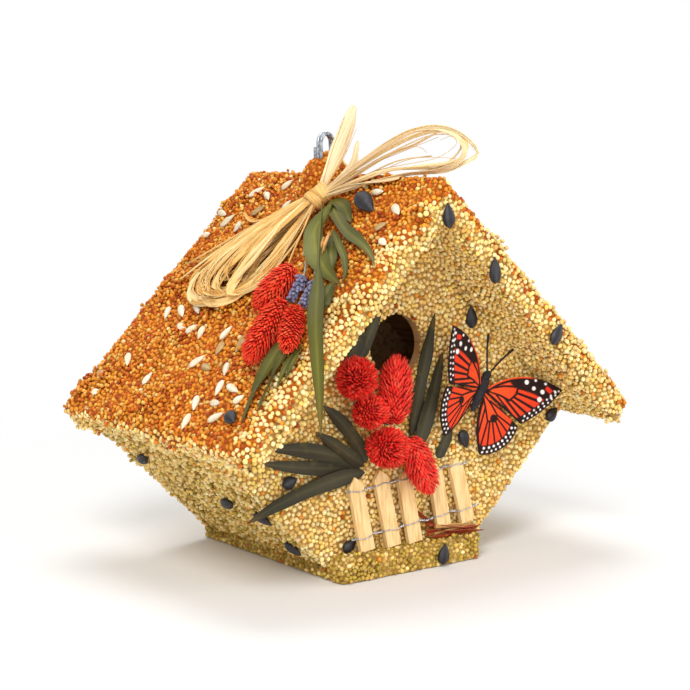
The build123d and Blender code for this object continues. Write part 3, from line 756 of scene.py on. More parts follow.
# %% Lay the millet on every coat
coats = [
    ("left_roof_seed_coat", roof_kinds(left_roof), gold_glue, "golden_seed"),
    ("right_roof_seed_coat", roof_kinds(right_roof), gold_glue, "golden_seed"),
    ("left_rim_seed_coat", rim_kinds, pale_glue, "white_seed"),
    ("right_rim_seed_coat", rim_kinds, pale_glue, "white_seed"),
    ("front_seed_coat", mostly(CREAM, GOLD, 0.02), pale_glue, "white_seed"),
    ("back_seed_coat", mostly(CREAM, GOLD, 0.02), pale_glue, "white_seed"),
    ("left_wall_seed_coat", wall_kinds, pale_glue, "white_seed"),
    ("right_wall_seed_coat", wall_kinds, pale_glue, "white_seed"),
    ("floor_seed_coat", mostly(TAN, CREAM, 0.1), pale_glue, "coarse_seed"),
    ("porch_seed_coat", mostly(TAN, CREAM, 0.2), pale_glue, "coarse_seed"),
    ("hanger_seed_plug", mostly(GOLD, CREAM, 0.08), gold_glue, "golden_seed"),
]
first_coat_seed = 100


def repaint(name, material):
    """Give a measured piece its finish, in the slots that it already has."""
    slots = nodes[name].data.materials
    for number in range(len(slots)):
        slots[number] = material


grain_total = 0
for number, (coat, kind_at, glue, slot) in enumerate(coats):
    repaint(coat, glue)
    grain_total += coat_with_grains(coat, kind_at, grain_finish, first_coat_seed + number)
print(grain_total, "grains in all")

# %% [markdown]
# ## Sunflower seeds and kernels
# Black sunflower seeds and a few dozen pale, hulled kernels are pressed into the millet here and there.
# Both are flat drops: blunt at one end, pointed at the other. A sphere pulled to a point would do from
# afar, but a loft of flattened rings gives the keel along the seed and lets the stripes run its length.

# %% Drop-shaped seeds
drop_sides, drop_rows = 14, 11
drop_tilt = 0.12


def drop(random, face, place, length, turn, build, colours, stripes, tilt=0.0):
    """Rings and colours of one flat drop that lies on a face, turned by degrees."""
    stretch, slender, least_breadth, depth = build
    length, breadth = length * stretch, max(least_breadth, slender * length)
    share = np.linspace(0, 1, drop_rows)
    swell = np.clip(np.sin(np.pi * share**0.72) ** 0.8, 0.06, None)
    angle = np.arange(drop_sides) * 2 * np.pi / drop_sides
    keel = np.sign(np.sin(angle)) * np.abs(np.sin(angle)) ** 1.2
    section = np.stack([np.cos(angle) * breadth / 2, keel * depth / 2], -1)[None] * swell[:, None, None]
    spin = math.radians(turn)
    heading = np.array([math.cos(spin), math.sin(spin), 0.0])
    heading = unit(heading + np.array([0, 0, tilt + random.uniform(-drop_tilt, drop_tilt)]))
    path = np.asarray(place, float) + (share[:, None] - 0.5) * length * heading
    rings = carry(path, (-heading[1], heading[0], 0), section)
    dark, light = (tint_of(*colour) for colour in colours)
    streak = np.clip(0.5 + 0.5 * np.cos(angle * stripes + random.uniform(0, 6)), 0, 1) ** 3
    streak = streak[None] * (0.4 + 0.6 * random.random((drop_rows, 1)))
    tints = dark + (light - dark) * streak[..., None]
    return face.place(rings), tints * random.uniform(0.85, 1.12)


def dry_husk(name, gloss):
    stain = (0.4, 0.8, 0.3, (160, 140, 116), "MULTIPLY")
    return fine_finish(name, 0.4, (700, 3), stain, (gloss, 0.3), (0.0002,))


print("a drop is lofted from", drop_rows, "rings of", drop_sides, "points")

# %% Black seeds
roof_thick = 8
panel_top_z = ridge_z - roof_thick * math.sqrt(2) * MM
wall_line = (triangles_of(["left_wall_seed_coat"]).reshape(-1, 3) @ np.array([1, 0, 1])).min()
left_wall = Face((wall_line, 0, 0), (0, -1, 0), (-1, 0, 1))
front_rim = Face((0, -rim_y * MM, ridge_z), across_way, up_way)
gable = Face((0, front_y, panel_top_z), across_way, up_way)
tray_front = Face((0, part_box("floor_seed_coat")[0].y, 0), across_way, up_way)
# the face, the place on it, the length and the turn of each black seed; the first stands out of the coat
black_seeds = [
    (left_roof, (17.5, 38.0), 14.0, 66), (left_roof, (128, 55), 8.5, 70),
    (front_rim, (-0.7, -14.8), 10.0, 98), (front_rim, (23.2, -38.3), 10.5, 90),
    (front_rim, (57, -67.3), 9.5, 58), (gable, (38, -50), 10.0, 100),
    (gable, (84, -97.3), 8.0, 35), (front, (33.4, 41), 9.0, -64),
    (left_wall, (-39.6, 65.5), 10.0, 30), (left_wall, (7.5, 46), 11.0, 20),
    (left_wall, (30, 42), 11.0, -25), (left_wall, (29, 20.5), 9.0, -40),
    (tray_front, (15, 5.2), 9.0, 78), (front, (-56.9, 34.0), 7.5, 15), (front, (-28.0, 3.2), 7.5, 28),
]
# a seed's stretch, its breadth to its length, its least breadth and its depth
black_build = (1.04, 0.56, 5.8, 3.8)
black_shades, black_stripes = [(24, 22, 26), (70, 67, 72)], 9
standing_off, standing_tilt, lying_off = 3.4, -0.4, 2.1
seed_random = np.random.default_rng(31)
seed_pile = Pile()
for number, (face, place, length, turn) in enumerate(black_seeds):
    off, tilt = (standing_off, standing_tilt) if number == 0 else (lying_off, 0.0)
    spot = (*place, off)
    seed = drop(seed_random, face, spot, length, turn, black_build, black_shades, black_stripes, tilt)
    seed_pile.add(*seed)
seed_pile.put("black_sunflower_seeds", dry_husk("dry_husk", 0.38))

# %% Hulled kernels on both roofs
# the place down the slope and along it, the length and the turn of each kernel
kernel_list = [
    ((85, -47), 7.5, 35), ((83, -37), 8.5, 55), ((80, -27), 8.5, 55), ((91, -27), 7.0, 80),
    ((91, -19), 6.0, 140), ((92, -10), 6.0, 15), ((90, 8), 7.0, 175), ((98, 12), 6.0, 5),
    ((94, 24), 8.5, 5), ((106, 3), 8.0, 140), ((108, 13), 8.0, 80), ((107, 27), 6.0, 25),
    ((115, 41), 8.0, 80), ((119, 50), 5.0, 145), ((125, 24), 8.5, 40), ((116, 32), 7.0, 15),
    ((123, 37), 5.0, 100), ((129, 44), 8.0, 125), ((134, 27), 7.5, 20), ((122, -61), 8.5, 70),
    ((131, -54), 5.0, 100), ((119, -23), 6.0, 165), ((112, -49), 8.0, 45), ((40, -65), 5.0, 100),
    ((31, -57), 8.0, 150), ((13, -52), 8.0, 145), ((8, -32), 6.0, 150), ((15, -41), 7.0, 55),
    ((24, -39), 7.0, 150), ((20, -20), 5.5, 165), ((33, -31), 5.0, 0), ((44, 20), 5.5, 10),
    ((10, 38), 7.0, 95), ((19, 59), 8.5, 60), ((28, 57), 6.0, 125), ((36, 66), 6.0, 70),
    ((34, -45), 6.0, 15), ((27, -66), 6.5, 80),
]
kernel_build = (1.12, 0.43, 3.2, 2.5)
kernel_off, kernel_stripes = 1.45, 3
bare_share = 0.84
husked = [(180, 148, 92), (224, 198, 144)]
bare = [(232, 219, 186), (253, 246, 230)]
kernel_random = np.random.default_rng(47)
kernel_finish = dry_husk("pale_kernel", 0.45)
for side, face in (("left", left_roof), ("right", right_roof)):
    kernel_pile = Pile()
    for place, length, turn in kernel_list:
        shades = bare if kernel_random.random() < bare_share else husked
        spot = (*place, kernel_off)
        kernel = drop(kernel_random, face, spot, length, turn, kernel_build, shades, kernel_stripes)
        kernel_pile.add(*kernel)
    kernel_pile.put(f"{side}_sunflower_kernels", kernel_finish)

# %% [markdown]
# ## Raffia
# Raffia is palm leaf split into strips a few millimetres wide: stiff, pale, ribbed along its length, and
# curling at the cut ends. The bow is some seventy strips bound at a knot, folded into a loop on each
# side. Cloth or hair simulation would hang it, but raffia is stiff and holds the bend that the maker gave
# it, so each strip follows a few measured points and gets its own width, pleat, twist and shade.

# %% One strip, one fibre
straw_colours = [(244, 208, 142), (234, 190, 116), (249, 222, 166), (218, 170, 94), (239, 200, 128)]
bleached_straw = tint_of(255, 247, 226)
strip_columns, strip_thick = 7, 0.24 * MM
fibre_sides, fibre_side_way = 5, (0.31, 0.2, 0.93)
straw_sharp = 55


def straw_tints(random, rows, columns, dim=1.0, bleach=0.0):
    """Shades of one strip: a colour of its own, streaks along it and slow changes down its length."""
    base = tint_of(*straw_colours[random.integers(len(straw_colours))])
    base = base + bleach * (bleached_straw - base)
    streak = 1 + 0.13 * random.normal(size=(1, columns))
    drift = np.interp(np.linspace(0, 1, rows), np.linspace(0, 1, 6), random.normal(size=6))[:, None]
    shade = np.clip(streak * (1 + 0.1 * drift) * dim, 0.4, 1.25)
    warm = np.array([1.0, 0.97, 0.88]) ** (4 * (1.2 - np.minimum(shade, 1.2)))[..., None]
    return np.clip(base * shade[..., None] * warm, 0, 1)


def lay_strip(pile, random, path, width, side, twist=0.0, fray=0.5, bleach=0.0):
    """A strip of raffia along a path in metres: pleated across, a little uneven, narrower at its ends."""
    share = np.linspace(0, 1, len(path))
    swell = fray + (1 - fray) * np.clip(np.sin(np.pi * share) * 3, 0, 1)
    uneven = 1 + 0.09 * np.sin(share * random.uniform(6, 14) + random.uniform(0, 6))
    pleat, fold = random.uniform(0.1, 0.3, 2)
    phase = random.uniform(0, 3)

    def profile(u):
        return pleat * np.cos(2.6 * u + phase) + fold * np.abs(u)

    section = strip_section(width / 2 * MM * swell * uneven, strip_thick, strip_columns, profile)
    rings = carry(path, side, section, twist)
    pile.add(rings, straw_tints(random, len(path), 2 * strip_columns, bleach=bleach))


def lay_fibre(pile, random, path, radius, dim=0.92):
    """A hair of raffia, split off a strip's edge."""
    radii = radius * MM * np.linspace(1, 0.55, len(path))
    rings = carry(path, fibre_side_way, round_section(radii, fibre_sides))
    pile.add(rings, straw_tints(random, len(path), fibre_sides, dim))


def lying_flat(path, off):
    """Which way a strip's width points, row by row, if it lies flat on a face."""
    return unit(np.cross(off, np.gradient(path, axis=0)))


print("strips of raffia come in", len(straw_colours), "colours")

# %% The straw's finish and the bow's own rulers
def ribbed_straw():
    finish = Finish("ribbed_straw", Specular_IOR_Level=0.35)
    ribs = finish.noise(1.0, 2, finish.place((260, 14, 1), "UV"))
    colour = finish.stain(finish.tint(), ribs, 0.42, 0.72, 0.42, (212, 170, 104), "MULTIPLY")
    colour = finish.stain(colour, finish.noise(500, 2), 0.6, 0.75, 0.25, (250, 236, 190))
    return finish.wear(Base_Color=colour, Roughness=0.5 + ribs * 0.2, Normal=finish.bump(ribs, 0.0002))


straw_finish = ribbed_straw()
knot_place, knot_off = (17.0, 6.5), 5.3
left_tip = (76.0, -17.0)
left_run = np.subtract(left_tip, knot_place)
knot_centre = left_roof.place((*knot_place, knot_off))
bow_left = Face(knot_centre, left_roof.turn((*left_run, 0)), left_roof.turn((-left_run[1], left_run[0], 0)))
right_run = np.array([28.5, -64.0, 20.5])
bow_right = Face(knot_centre, right_run, np.cross((0, 0, 1), right_run))
reaches = [round(float(np.linalg.norm(run)), 1) for run in (left_run, right_run)]
print("the bow's loops reach", *reaches, "mm")

# %% The loop that lies down the roof
left_random = np.random.default_rng(5)
left_pile = Pile()
# along the bow, across it and off it: three ways round, out at the back and home in front
left_rounds = np.array([
    [(3, -1, 1.6), (18, -8, 2.6), (34, -16, 3.0), (52, -22.5, 2.4), (63, -24.5, 1.4), (68.5, -20, 0.2),
     (69, -11, -0.8), (66, -1, -1.6), (59, 8.5, -2.2), (50, 14, -2.6), (38, 13, -2.6), (22, 8, -2.0),
     (3, 1.4, -0.6)],
    [(3, -0.6, 1.8), (20, -5.5, 3.4), (38, -10.5, 4.2), (52, -14, 3.4), (60, -13.5, 2.0), (64.5, -8, 0.6),
     (64, 0, -0.6), (58, 8, -1.6), (48, 13, -2.2), (36, 11.5, -2.4), (24, 8, -2.0), (12, 4, -1.2),
     (3, 1, -0.2)],
    [(3, 0, 2.0), (20, -1.5, 4.0), (38, -3, 5.0), (50, -3, 4.2), (57, 0, 2.6), (59.5, 6, 0.8),
     (57, 13, -0.8), (50, 18, -2.0), (42, 18.5, -2.4), (32, 14.5, -2.6), (20, 9, -2.2), (10, 4.5, -1.4),
     (3, 1.8, -0.6)],
])
free = np.sin(np.linspace(0, np.pi, left_rounds.shape[1]))[:, None]
round_strips, round_rows = 26, 64


def lay_left(points, rows, width, twist, fray=0.9):
    """A strip of the left loop that lies flat on the roof, apart from its twist."""
    path = bow_left.place(smooth_path(points, rows))
    lay_strip(left_pile, left_random, path, width, lying_flat(path, bow_left.axes[2]), twist, fray)


for number in range(round_strips):
    blend = left_random.dirichlet([0.4, 0.4, 0.4])
    points = np.einsum("r,rpc->pc", blend, left_rounds)
    points = points * (left_random.uniform(0.9, 1.04), left_random.uniform(0.8, 1.1), 1)
    points = points + free * left_random.normal(size=points.shape) * (1.0, 1.3, 0.6)
    share = np.linspace(0, 1, round_rows)
    on_edge = left_random.uniform(0.7, 1.4) * np.exp(-(((share - 0.5) / 0.13) ** 2))
    twist = on_edge + 0.3 * np.sin(share * 6 + left_random.uniform(0, 6))
    lay_left(points, round_rows, left_random.uniform(1.1, 2.1) ** 2, twist)
print(len(left_pile.shapes), "strips go round the left loop")

# %% Narrower loops inside it
inner_strips, inner_rows = 24, 56
for number in range(inner_strips):
    aim = left_random.uniform(-17, 13)
    reach = left_random.uniform(48, 66) - 0.2 * abs(aim)
    gap = left_random.choice([-1, 1]) * left_random.uniform(2.5, 7)
    points = np.array([
        (3, 0.08 * aim, 1.6), (0.3 * reach, 0.34 * aim, 3.2), (0.6 * reach, 0.7 * aim, 3.8),
        (0.88 * reach, 0.96 * aim, 2.4), (reach, aim + 0.4 * gap, 0.4), (0.95 * reach, aim + gap, -1.2),
        (0.75 * reach, 0.85 * (aim + gap), -1.8), (0.4 * reach, 0.45 * (aim + gap), -1.4),
        (3, 0.06 * aim, -0.4),
    ])
    points[1:-1] += left_random.normal(size=(len(points) - 2, 3)) * (1.0, 0.9, 0.5)
    twist = 0.5 * np.sin(np.linspace(0, 7, inner_rows) + left_random.uniform(0, 6))
    lay_left(points, inner_rows, left_random.uniform(1.1, 2.0) ** 2, twist)
print(len(left_pile.shapes), "strips with those inside it")

# %% Its free ends and hairs
free_ends = [
    ([(3, -1.5, 1.2), (22, -13, 1.8), (42, -27, -0.6), (59, -40.5, -3.0)], 2.6),
    ([(3, -1.2, 1.0), (24, -15, 2.0), (46, -32, -0.4), (63, -46, -2.8)], 1.7),
    ([(3, -1.0, 1.4), (26, -14, 2.4), (50, -28, 0.2), (69, -38.5, -2.8)], 2.2),
    ([(3, -1.4, 1.4), (26, -12, 2.8), (48, -23, 1.0), (66, -31, -2.4)], 3.0),
    ([(3, -1.8, 0.5), (14, -12, 0.8), (24.3, -23, -1.2), (29, -35, -2.6), (28.4, -44, -2.0)], 1.6),
    ([(3, 1.8, 0.6), (16, 9, -0.4), (30, 15, -2.2), (38, 19, -3.0)], 1.3),
    ([(3, 2.2, 0.4), (13, 11, -0.6), (24, 18.5, -2.2), (29, 22, -3.0)], 1.0),
]
end_rows, end_twist, end_fray = 30, 0.2, 0.7
left_fibres, fibre_rows, fibre_radius = 16, 36, 0.17
for points, width in free_ends:
    lay_left(points, end_rows, width, end_twist, end_fray)
for number in range(left_fibres):
    blend = left_random.dirichlet([0.6, 0.6, 0.6])
    points = np.einsum("r,rpc->pc", blend, left_rounds)[:left_random.integers(6, 13)]
    points = points + free[: len(points)] * left_random.normal(size=points.shape) * (1.6, 2.4, 0.9)
    lay_fibre(left_pile, left_random, bow_left.place(smooth_path(points, fibre_rows)), fibre_radius)
left_pile.put("raffia_left_loop_strips", straw_finish, ["raffia_left_loop"], straw_sharp)

# %% The loop that springs over the ridge
right_random = np.random.default_rng(8)
right_pile = Pile()
# along the loop, across it and off it; then the strip's width
right_strips = [
    ([(3, 0, 1), (24, -1, 8.8), (40, -2, 13.2), (53, -2, 14.6), (63, -1, 12.6), (70, 0, 8), (74, 1, 2.5),
      (76, 2, -4.4), (70, 2, -6.2), (62, 1, -7.4), (53, 0, -5.6), (40, 0, -2.4), (20, 0, -1.4),
      (3, 0, -0.8)], 3.4),
    ([(3, 1, 1), (22, 1.5, 7.4), (38, 2.5, 11.6), (52, 3, 13.2), (63, 3, 11.4), (68.5, 2.6, 7), (69.6, 2, 1),
      (65.5, 1.5, -2.6), (57.5, 1, -4.9), (45, 0.5, -3.4), (24, 0.5, -1.4), (3, 0.3, -0.6)], 2.6),
    ([(3, -1, 0.8), (25, -3.5, 8.0), (42, -5, 12.0), (56, -5, 13.4), (66, -4, 10.2), (71.5, -3, 5),
      (73, -2, -1), (70, -1, -4.6), (60, -2, -6.6), (46, -2, -3.8), (24, -1.4, -1.6), (3, -0.8, -0.9)], 2.8),
    ([(3, 0.5, 0.7), (20, 2.5, 4.8), (34.7, 4, 8.4), (48.7, 4.6, 9.3), (56.4, 4, 10.6), (64, 3, 10.9),
      (70, 2, 6.8), (72.6, 1, 0.4), (69, 1, -4.0), (58, 2.4, -5.8), (40, 2, -2.8), (3, 0.6, -0.4)], 2.0),
    ([(3, -0.6, 0.4), (22, -2, 4.2), (36, -3, 7.4), (50, -3, 9.4), (60, -2.6, 9.9), (68, -2, 7.9)], 1.3),
    ([(3, 0.6, 0.2), (22, 2.6, 2.6), (41, 4.2, 4.3), (54, 5.4, 1.7)], 1.2),
    ([(3, -0.4, -0.4), (14, -1.2, -0.8), (26, -2.6, -2.0), (42.5, -4.2, -4.6)], 3.4),
    ([(3, 0, -0.2), (18, 0.4, 0.6), (36, 0.6, 0.8), (52, 0, -2.6), (62, -0.6, -5.0), (70, 0, -4.8)], 2.6),
    ([(3, 0.9, 0.1), (22, 1.8, 1.0), (38, 2.6, 0.4), (54, 2.8, -4.4), (64, 2.2, -6.6)], 2.2),
]
right_fibres = [
    [(4, 0.6, 0.4), (30, 3.4, 3.2), (46, 5, 1.2), (55.4, 5.4, 0.2), (62.5, 5, 1.4), (67.5, 4, 4.4),
     (67, 3, 6.8), (61, 3, 7.4)],
    [(4, -0.4, 0.8), (28, -1, 6.2), (44, -1.6, 7.2), (56, -1, 8.0), (62, 0, 8.6)],
    [(4, 0.2, 0.6), (26, 1, 5.4), (40, 2, 8.8), (52, 2.4, 6.4), (54, 2, 3.4)],
    [(4, 0, 0.4), (30, 0, 1.8), (48, 1, 2.8), (60, 1.6, -1.0), (66, 2, -3.4)],
    [(4, -0.8, 0.5), (26, -3.8, 6.6), (44, -6, 10.6), (60, -5.6, 11.8), (72, -3.4, 4.2), (77, -2, -3.0)],
]
loop_squash = (1, 1, 0.86)
long_strip, loop_rows, short_rows = 8, 64, 36
right_bleach = 0.4
for points, width in right_strips:
    path = smooth_path(np.array(points) * loop_squash, loop_rows if len(points) > long_strip else short_rows)
    twist = 0.55 * np.sin(np.linspace(0, 5.5, len(path)) + right_random.uniform(0, 6))
    path = bow_right.place(path)
    lay_strip(right_pile, right_random, path, width, bow_right.axes[1], twist, 0.8, right_bleach)
for points in right_fibres:
    path = bow_right.place(smooth_path(np.array(points) * loop_squash, 40))
    lay_fibre(right_pile, right_random, path, 0.2, 0.85)
right_pile.put("raffia_right_loop_strips", straw_finish, ["raffia_right_loop"], straw_sharp)

# %% Tails that stand up
tail_random = np.random.default_rng(12)
tail_pile = Pile()
tail_facing = unit((-0.57, -0.81, 0.13))
tail_bleach = 0.55
# the tip's place from the knot in mm, the shift to its side, and the width
tails = [
    ((9.8, -13.3, 37.6), -1.5, 3.4), ((9.8, -13.3, 37.2), 0.6, 3.2), ((9.4, -12.4, 34.4), 2.2, 2.6),
    ((9.8, -12.2, 23.9), 4.6, 2.6), ((9.4, -12.0, 19.0), 6.2, 1.6),
]
for tip, shift, width in tails:
    tip = np.array(tip)
    sideways = unit(np.cross(tip, tail_facing))
    # how far up each point of the tail is, and how much of the shift it has
    bends = [(0.3, 0.6), (0.65, 1), (1, 0.4)]
    points = [tip * 0.04, *(tip * up + sideways * shift * part for up, part in bends)]
    path = knot_centre + MM * smooth_path(points, 34)
    twist = tail_random.uniform(-0.35, 0.35)
    lay_strip(tail_pile, tail_random, path, width, sideways, twist, 0.45, tail_bleach)
for tail in tails:
    tip = np.array(tail[0]) * tail_random.uniform(0.7, 1.02)
    sideways = unit(np.cross(tip, tail_facing)) * tail_random.uniform(-3, 5)
    path = knot_centre + MM * smooth_path([tip * 0.05, tip * 0.5 + sideways * 0.8, tip + sideways], 20)
    lay_fibre(tail_pile, tail_random, path, 0.15)
tail_pile.put("raffia_tail_strips", straw_finish, ["raffia_tails"], straw_sharp)

# %% The bound knot
knot_random = np.random.default_rng(14)
knot_pile = Pile()
knot_half, knot_waist = 5.0, 3.6
knot_wraps, wrap_turns, wrap_rows, wrap_width = 4, 2.6, 90, 2.3
core_rows = np.linspace(-knot_half - 1.5, knot_half + 1.5, 16)
core_path = bow_left.place(np.stack([core_rows, 0 * core_rows, 0 * core_rows], -1))
core_section = round_section(MM * (2.9 - 0.02 * core_rows**2), 16)
core_rings = carry(core_path, bow_left.axes[1], core_section)
knot_pile.add(core_rings, straw_tints(knot_random, 16, 16, 0.75))
for wrap in range(knot_wraps):
    swing = np.linspace(0, wrap_turns * 2 * np.pi, wrap_rows)
    start = -knot_half + 1.0 + 2.1 * wrap
    lean = knot_random.uniform(-0.9, 0.9)
    along = start + np.linspace(0, 1.9, wrap_rows) + lean * np.cos(swing)
    radius = knot_waist + 0.24 * wrap + 0.25 * np.sin(swing * 0.7 + wrap)
    path = np.stack([along, radius * np.cos(swing), radius * np.sin(swing)], -1)
    lay_strip(knot_pile, knot_random, bow_left.place(path), wrap_width, bow_left.axes[0], 0.12, 0.9)
knot_pile.put("raffia_knot_wraps", straw_finish, ["raffia_knot"], straw_sharp)

# %% [markdown]
# ## Dried leaves
# The leaves are long, thin and leathery, glued down flat: olive green on the roof, where they were put on
# fresh, and a dull grey-green, nearly black, on the front. A flat cut-out would show as paper, so each
# blade is a loft with a fold along its midrib, wavy edges, and a shade that changes from rib to edge.

# %% One blade
blade_columns, blade_thick, blade_rows = 9, 0.35, 34
widest = 0.385
stalk_width, stalk_flare = 0.14, 0.16
browned_tip = tint_of(110, 84, 44)
grain_rise = 1.3
leaf_sharp = 60


def lay_blade(pile, random, path, width, side, colours, fold=0.22, twist=0.12, stalk=0.0):
    """A leaf along a path in mm on its face: folded, wavy, and over a share of its length a thin stalk."""
    share = np.linspace(0, 1, len(path))
    swell = (share / widest) ** 0.5 * ((1 - share) / (1 - widest)) ** 0.8
    swell = np.clip(1.15 * swell, 0.03, 1.0)
    if stalk:
        swell = swell * np.clip((share - stalk) / stalk_flare, stalk_width, 1)
    swell = swell * (1 + 0.05 * np.sin(share * random.uniform(8, 18) + random.uniform(0, 6)))
    half = width / 2 * swell
    section = strip_section(half, blade_thick, blade_columns, lambda u: fold * np.abs(u) - fold * 0.3)
    wave = twist * np.sin(share * random.uniform(5, 11) + random.uniform(0, 6))
    rings = carry(path, side, section, wave + 0.8 * twist * random.normal())
    dark, light = (tint_of(*colour) for colour in colours)
    u = np.abs(np.linspace(1, -1, blade_columns))
    across = np.concatenate([u, u])
    drift = 0.8 + 0.3 * np.sin(share * 7 + random.uniform(0, 6))
    pale = np.clip(0.75 - 0.5 * across, 0, 1)[None] * drift[:, None]
    rib = (across < 0.1)[None] * 0.3
    tints = dark + (light - dark) * np.clip(pale + rib, 0, 1)[..., None]
    browned = np.clip((share - 0.86) * 4, 0, 0.5)[:, None, None]
    tints = tints * (1 - browned) + browned * browned_tip
    pile.add(rings, tints * random.uniform(0.86, 1.14))


print("a blade has", 2 * blade_columns, "points in each ring")

# %% Leaves in a group
def beside_run(run):
    """Square to a run on a face, to its left."""
    return np.array([-run[1], run[0]]) / np.linalg.norm(run)


def leaf_group(name, face, leaves, colours, stands_for, seed, twist=0.12, arch=0.5, bent=()):
    """Leaves on a face, each from base to tip with a width, a sideways bow and a layer; then bent ones."""
    random = np.random.default_rng(seed)
    pile = Pile(face.place)
    share = np.linspace(0, 1, blade_rows)[:, None]
    for base, tip, width, bow, layer in leaves:
        base, tip = np.array(base, float), np.array(tip, float)
        beside = beside_run(tip - base)
        flat = base + (tip - base) * share + beside * bow * 4 * share * (1 - share)
        lift = grain_rise + 0.4 + 0.8 * layer + arch * np.sin(share * 3.1)
        path = np.concatenate([flat, lift], axis=1)
        lay_blade(pile, random, path, width * 1.06, (*beside, 0), colours, twist=twist)
    for points, width, shades in bent:
        path = smooth_path(points, blade_rows)
        lay_blade(pile, random, path, width, lying_flat(path, (0, 0, 1)), shades, twist=0.25)
    pile.put(name, leaf_finish, stands_for, leaf_sharp)


def leathery_leaf():
    finish = Finish("leathery_leaf", Specular_IOR_Level=0.25)
    veins = finish.noise(1.0, 2, finish.place((190, 9, 1), "UV"))
    blotch = finish.noise(210, 3)
    colour = finish.stain(finish.tint(), veins, 0.45, 0.7, 0.4, (150, 150, 110), "MULTIPLY")
    colour = finish.stain(colour, blotch, 0.55, 0.75, 0.3, (112, 96, 46))
    return finish.wear(Base_Color=colour, Roughness=0.42 + blotch * 0.25, Normal=finish.bump(veins, 0.0002))


leaf_finish = leathery_leaf()
olive = [(56, 58, 14), (116, 112, 42)]
fresh = [(70, 74, 18), (134, 132, 52)]
dusky = [(38, 36, 22), (80, 75, 52)]
spikelet = [(176, 120, 62), (232, 178, 104)]
print("leaves wear", leaf_finish.name, "in olive, fresh green and dusk")

# %% Leaves on the roof
low_leaves = [((76, 52), (128, 66), 9, 0, 0), ((90, 65), (110, 70), 3.5, 1, 0)]
broad_leaf = [((60, 57), (86, 69), 6.5, 0, 2)]
# blades bent under the knot, then straw spikelets on them: down the slope, to the front and off it; the width
bunch = [
    ([(17.5, 14, 3.2), (20, 25, 3.8), (28, 37.5, 2.4)], 6.0, olive),
    ([(18, 14, 3.6), (25, 25, 4.4), (33.7, 41.7, 3.8), (38.5, 55.5, 3.4), (43.4, 66, 3.0),
      (48, 72.5, 2.0)], 5.2, olive),
    ([(35.6, 32.6, 2.8), (44.1, 40.3, 3.2), (54.6, 51.6, 2.6)], 4.6, olive),
    ([(34.3, 32.2, 4.0), (41.3, 44.2, 4.4), (49.3, 55.7, 4.0), (55.6, 61, 3.2), (59.5, 62, 2.6)], 3.2, olive),
    ([(19.8, 17.9, 4.8), (27.1, 19.9, 5.2), (34.3, 20.7, 5), (41.2, 26.3, 4.8), (49.4, 38, 4.8),
      (55.9, 51.2, 4.2), (59.8, 61.5, 3.0)], 9.2, fresh),
    ([(36.3, 34, 5.6), (42, 37.4, 6.2), (48.1, 40, 5.6)], 1.5, spikelet),
    ([(38.2, 34.7, 5.4), (42.4, 36.8, 6.0), (46.2, 39.8, 5.4)], 1.3, spikelet),
    ([(39, 32.1, 5.4), (42, 34.6, 5.9), (45.1, 36.6, 5.6)], 1.3, spikelet),
]


def slim_pairs(leaves):
    """Two narrow blades in the place of each leaf, fanned a little, the second higher and shorter."""
    blades = []
    for base, tip, width, bow, layer in leaves:
        run = np.subtract(tip, base)
        for side in (-1, 1):
            shift = 0.36 * side * width * beside_run(run)
            short = 0.09 * (side + 1) / 2 * run
            ends = (base + 0.3 * shift, tip + shift - short)
            blades.append((*ends, 0.62 * width, bow + 1.2 * side, layer + 0.3 * side))
    return blades


roof_blades = slim_pairs(low_leaves) + broad_leaf
leaf_group(
    "roof_leaf_blades", left_roof, roof_blades, olive, ["roof_leaves"],
    seed=21, twist=0.4, arch=1.8, bent=bunch,
)

# %% Leaves on the front
left_leaves = [
    ((-22, 37.5), (-69, 48.9), 6, -2, 1), ((-22, 35.5), (-70.7, 43.5), 5.5, 1, 0),
    ((-20, 33.5), (-77.9, 20.1), 6.5, -3, 1), ((-20, 37.5), (-41.3, 64.1), 6, -2, 2),
    ((-21, 36.5), (-45, 53.5), 5, 0, 2),
]
right_leaves = [
    ((5, 45.5), (18.4, 97.1), 6, 1, 0), ((7.6, 39.5), (21.5, 80.2), 6.5, 0, 1),
    ((19, 34.5), (26.5, 48.1), 5, 0, 0),
]
hole_leaves = [((-21, -3.5), (-9.8, 16.7), 5, 1, 0), ((-29, -4.5), (-19.5, 9.5), 7, 0, 1)]
leaf_group("left_leaf_fan", front, left_leaves, dusky, ["face_leaves_left"], seed=22)
leaf_group("right_leaf_pair", front, right_leaves, dusky, ["face_leaves_right"], seed=23)
leaf_group("entrance_leaves", entrance, hole_leaves, dusky, ["face_leaves_hole"], seed=24)

# %% The leaf that hangs over the edge
hanging_points = [
    (20, 11.5, 5), (42, 33, 6.6), (66, 57, 7.4), (84, 73.5, 6.8),
    (93, 79, 2.6), (103, 80.4, -7), (115, 81, -19),
]
hanging_width, hanging_side, hanging_stalk = 7.8, (-0.69, 0.72, 0), 0.36
hanging_random = np.random.default_rng(25)
hanging_pile = Pile(left_roof.place)
hanging_path = smooth_path(hanging_points, 60)
lay_blade(
    hanging_pile, hanging_random, hanging_path, hanging_width, hanging_side, olive, 0.16, stalk=hanging_stalk
)
hanging_pile.put("hanging_leaf_blade", leaf_finish, ["hanging_leaf"], leaf_sharp)
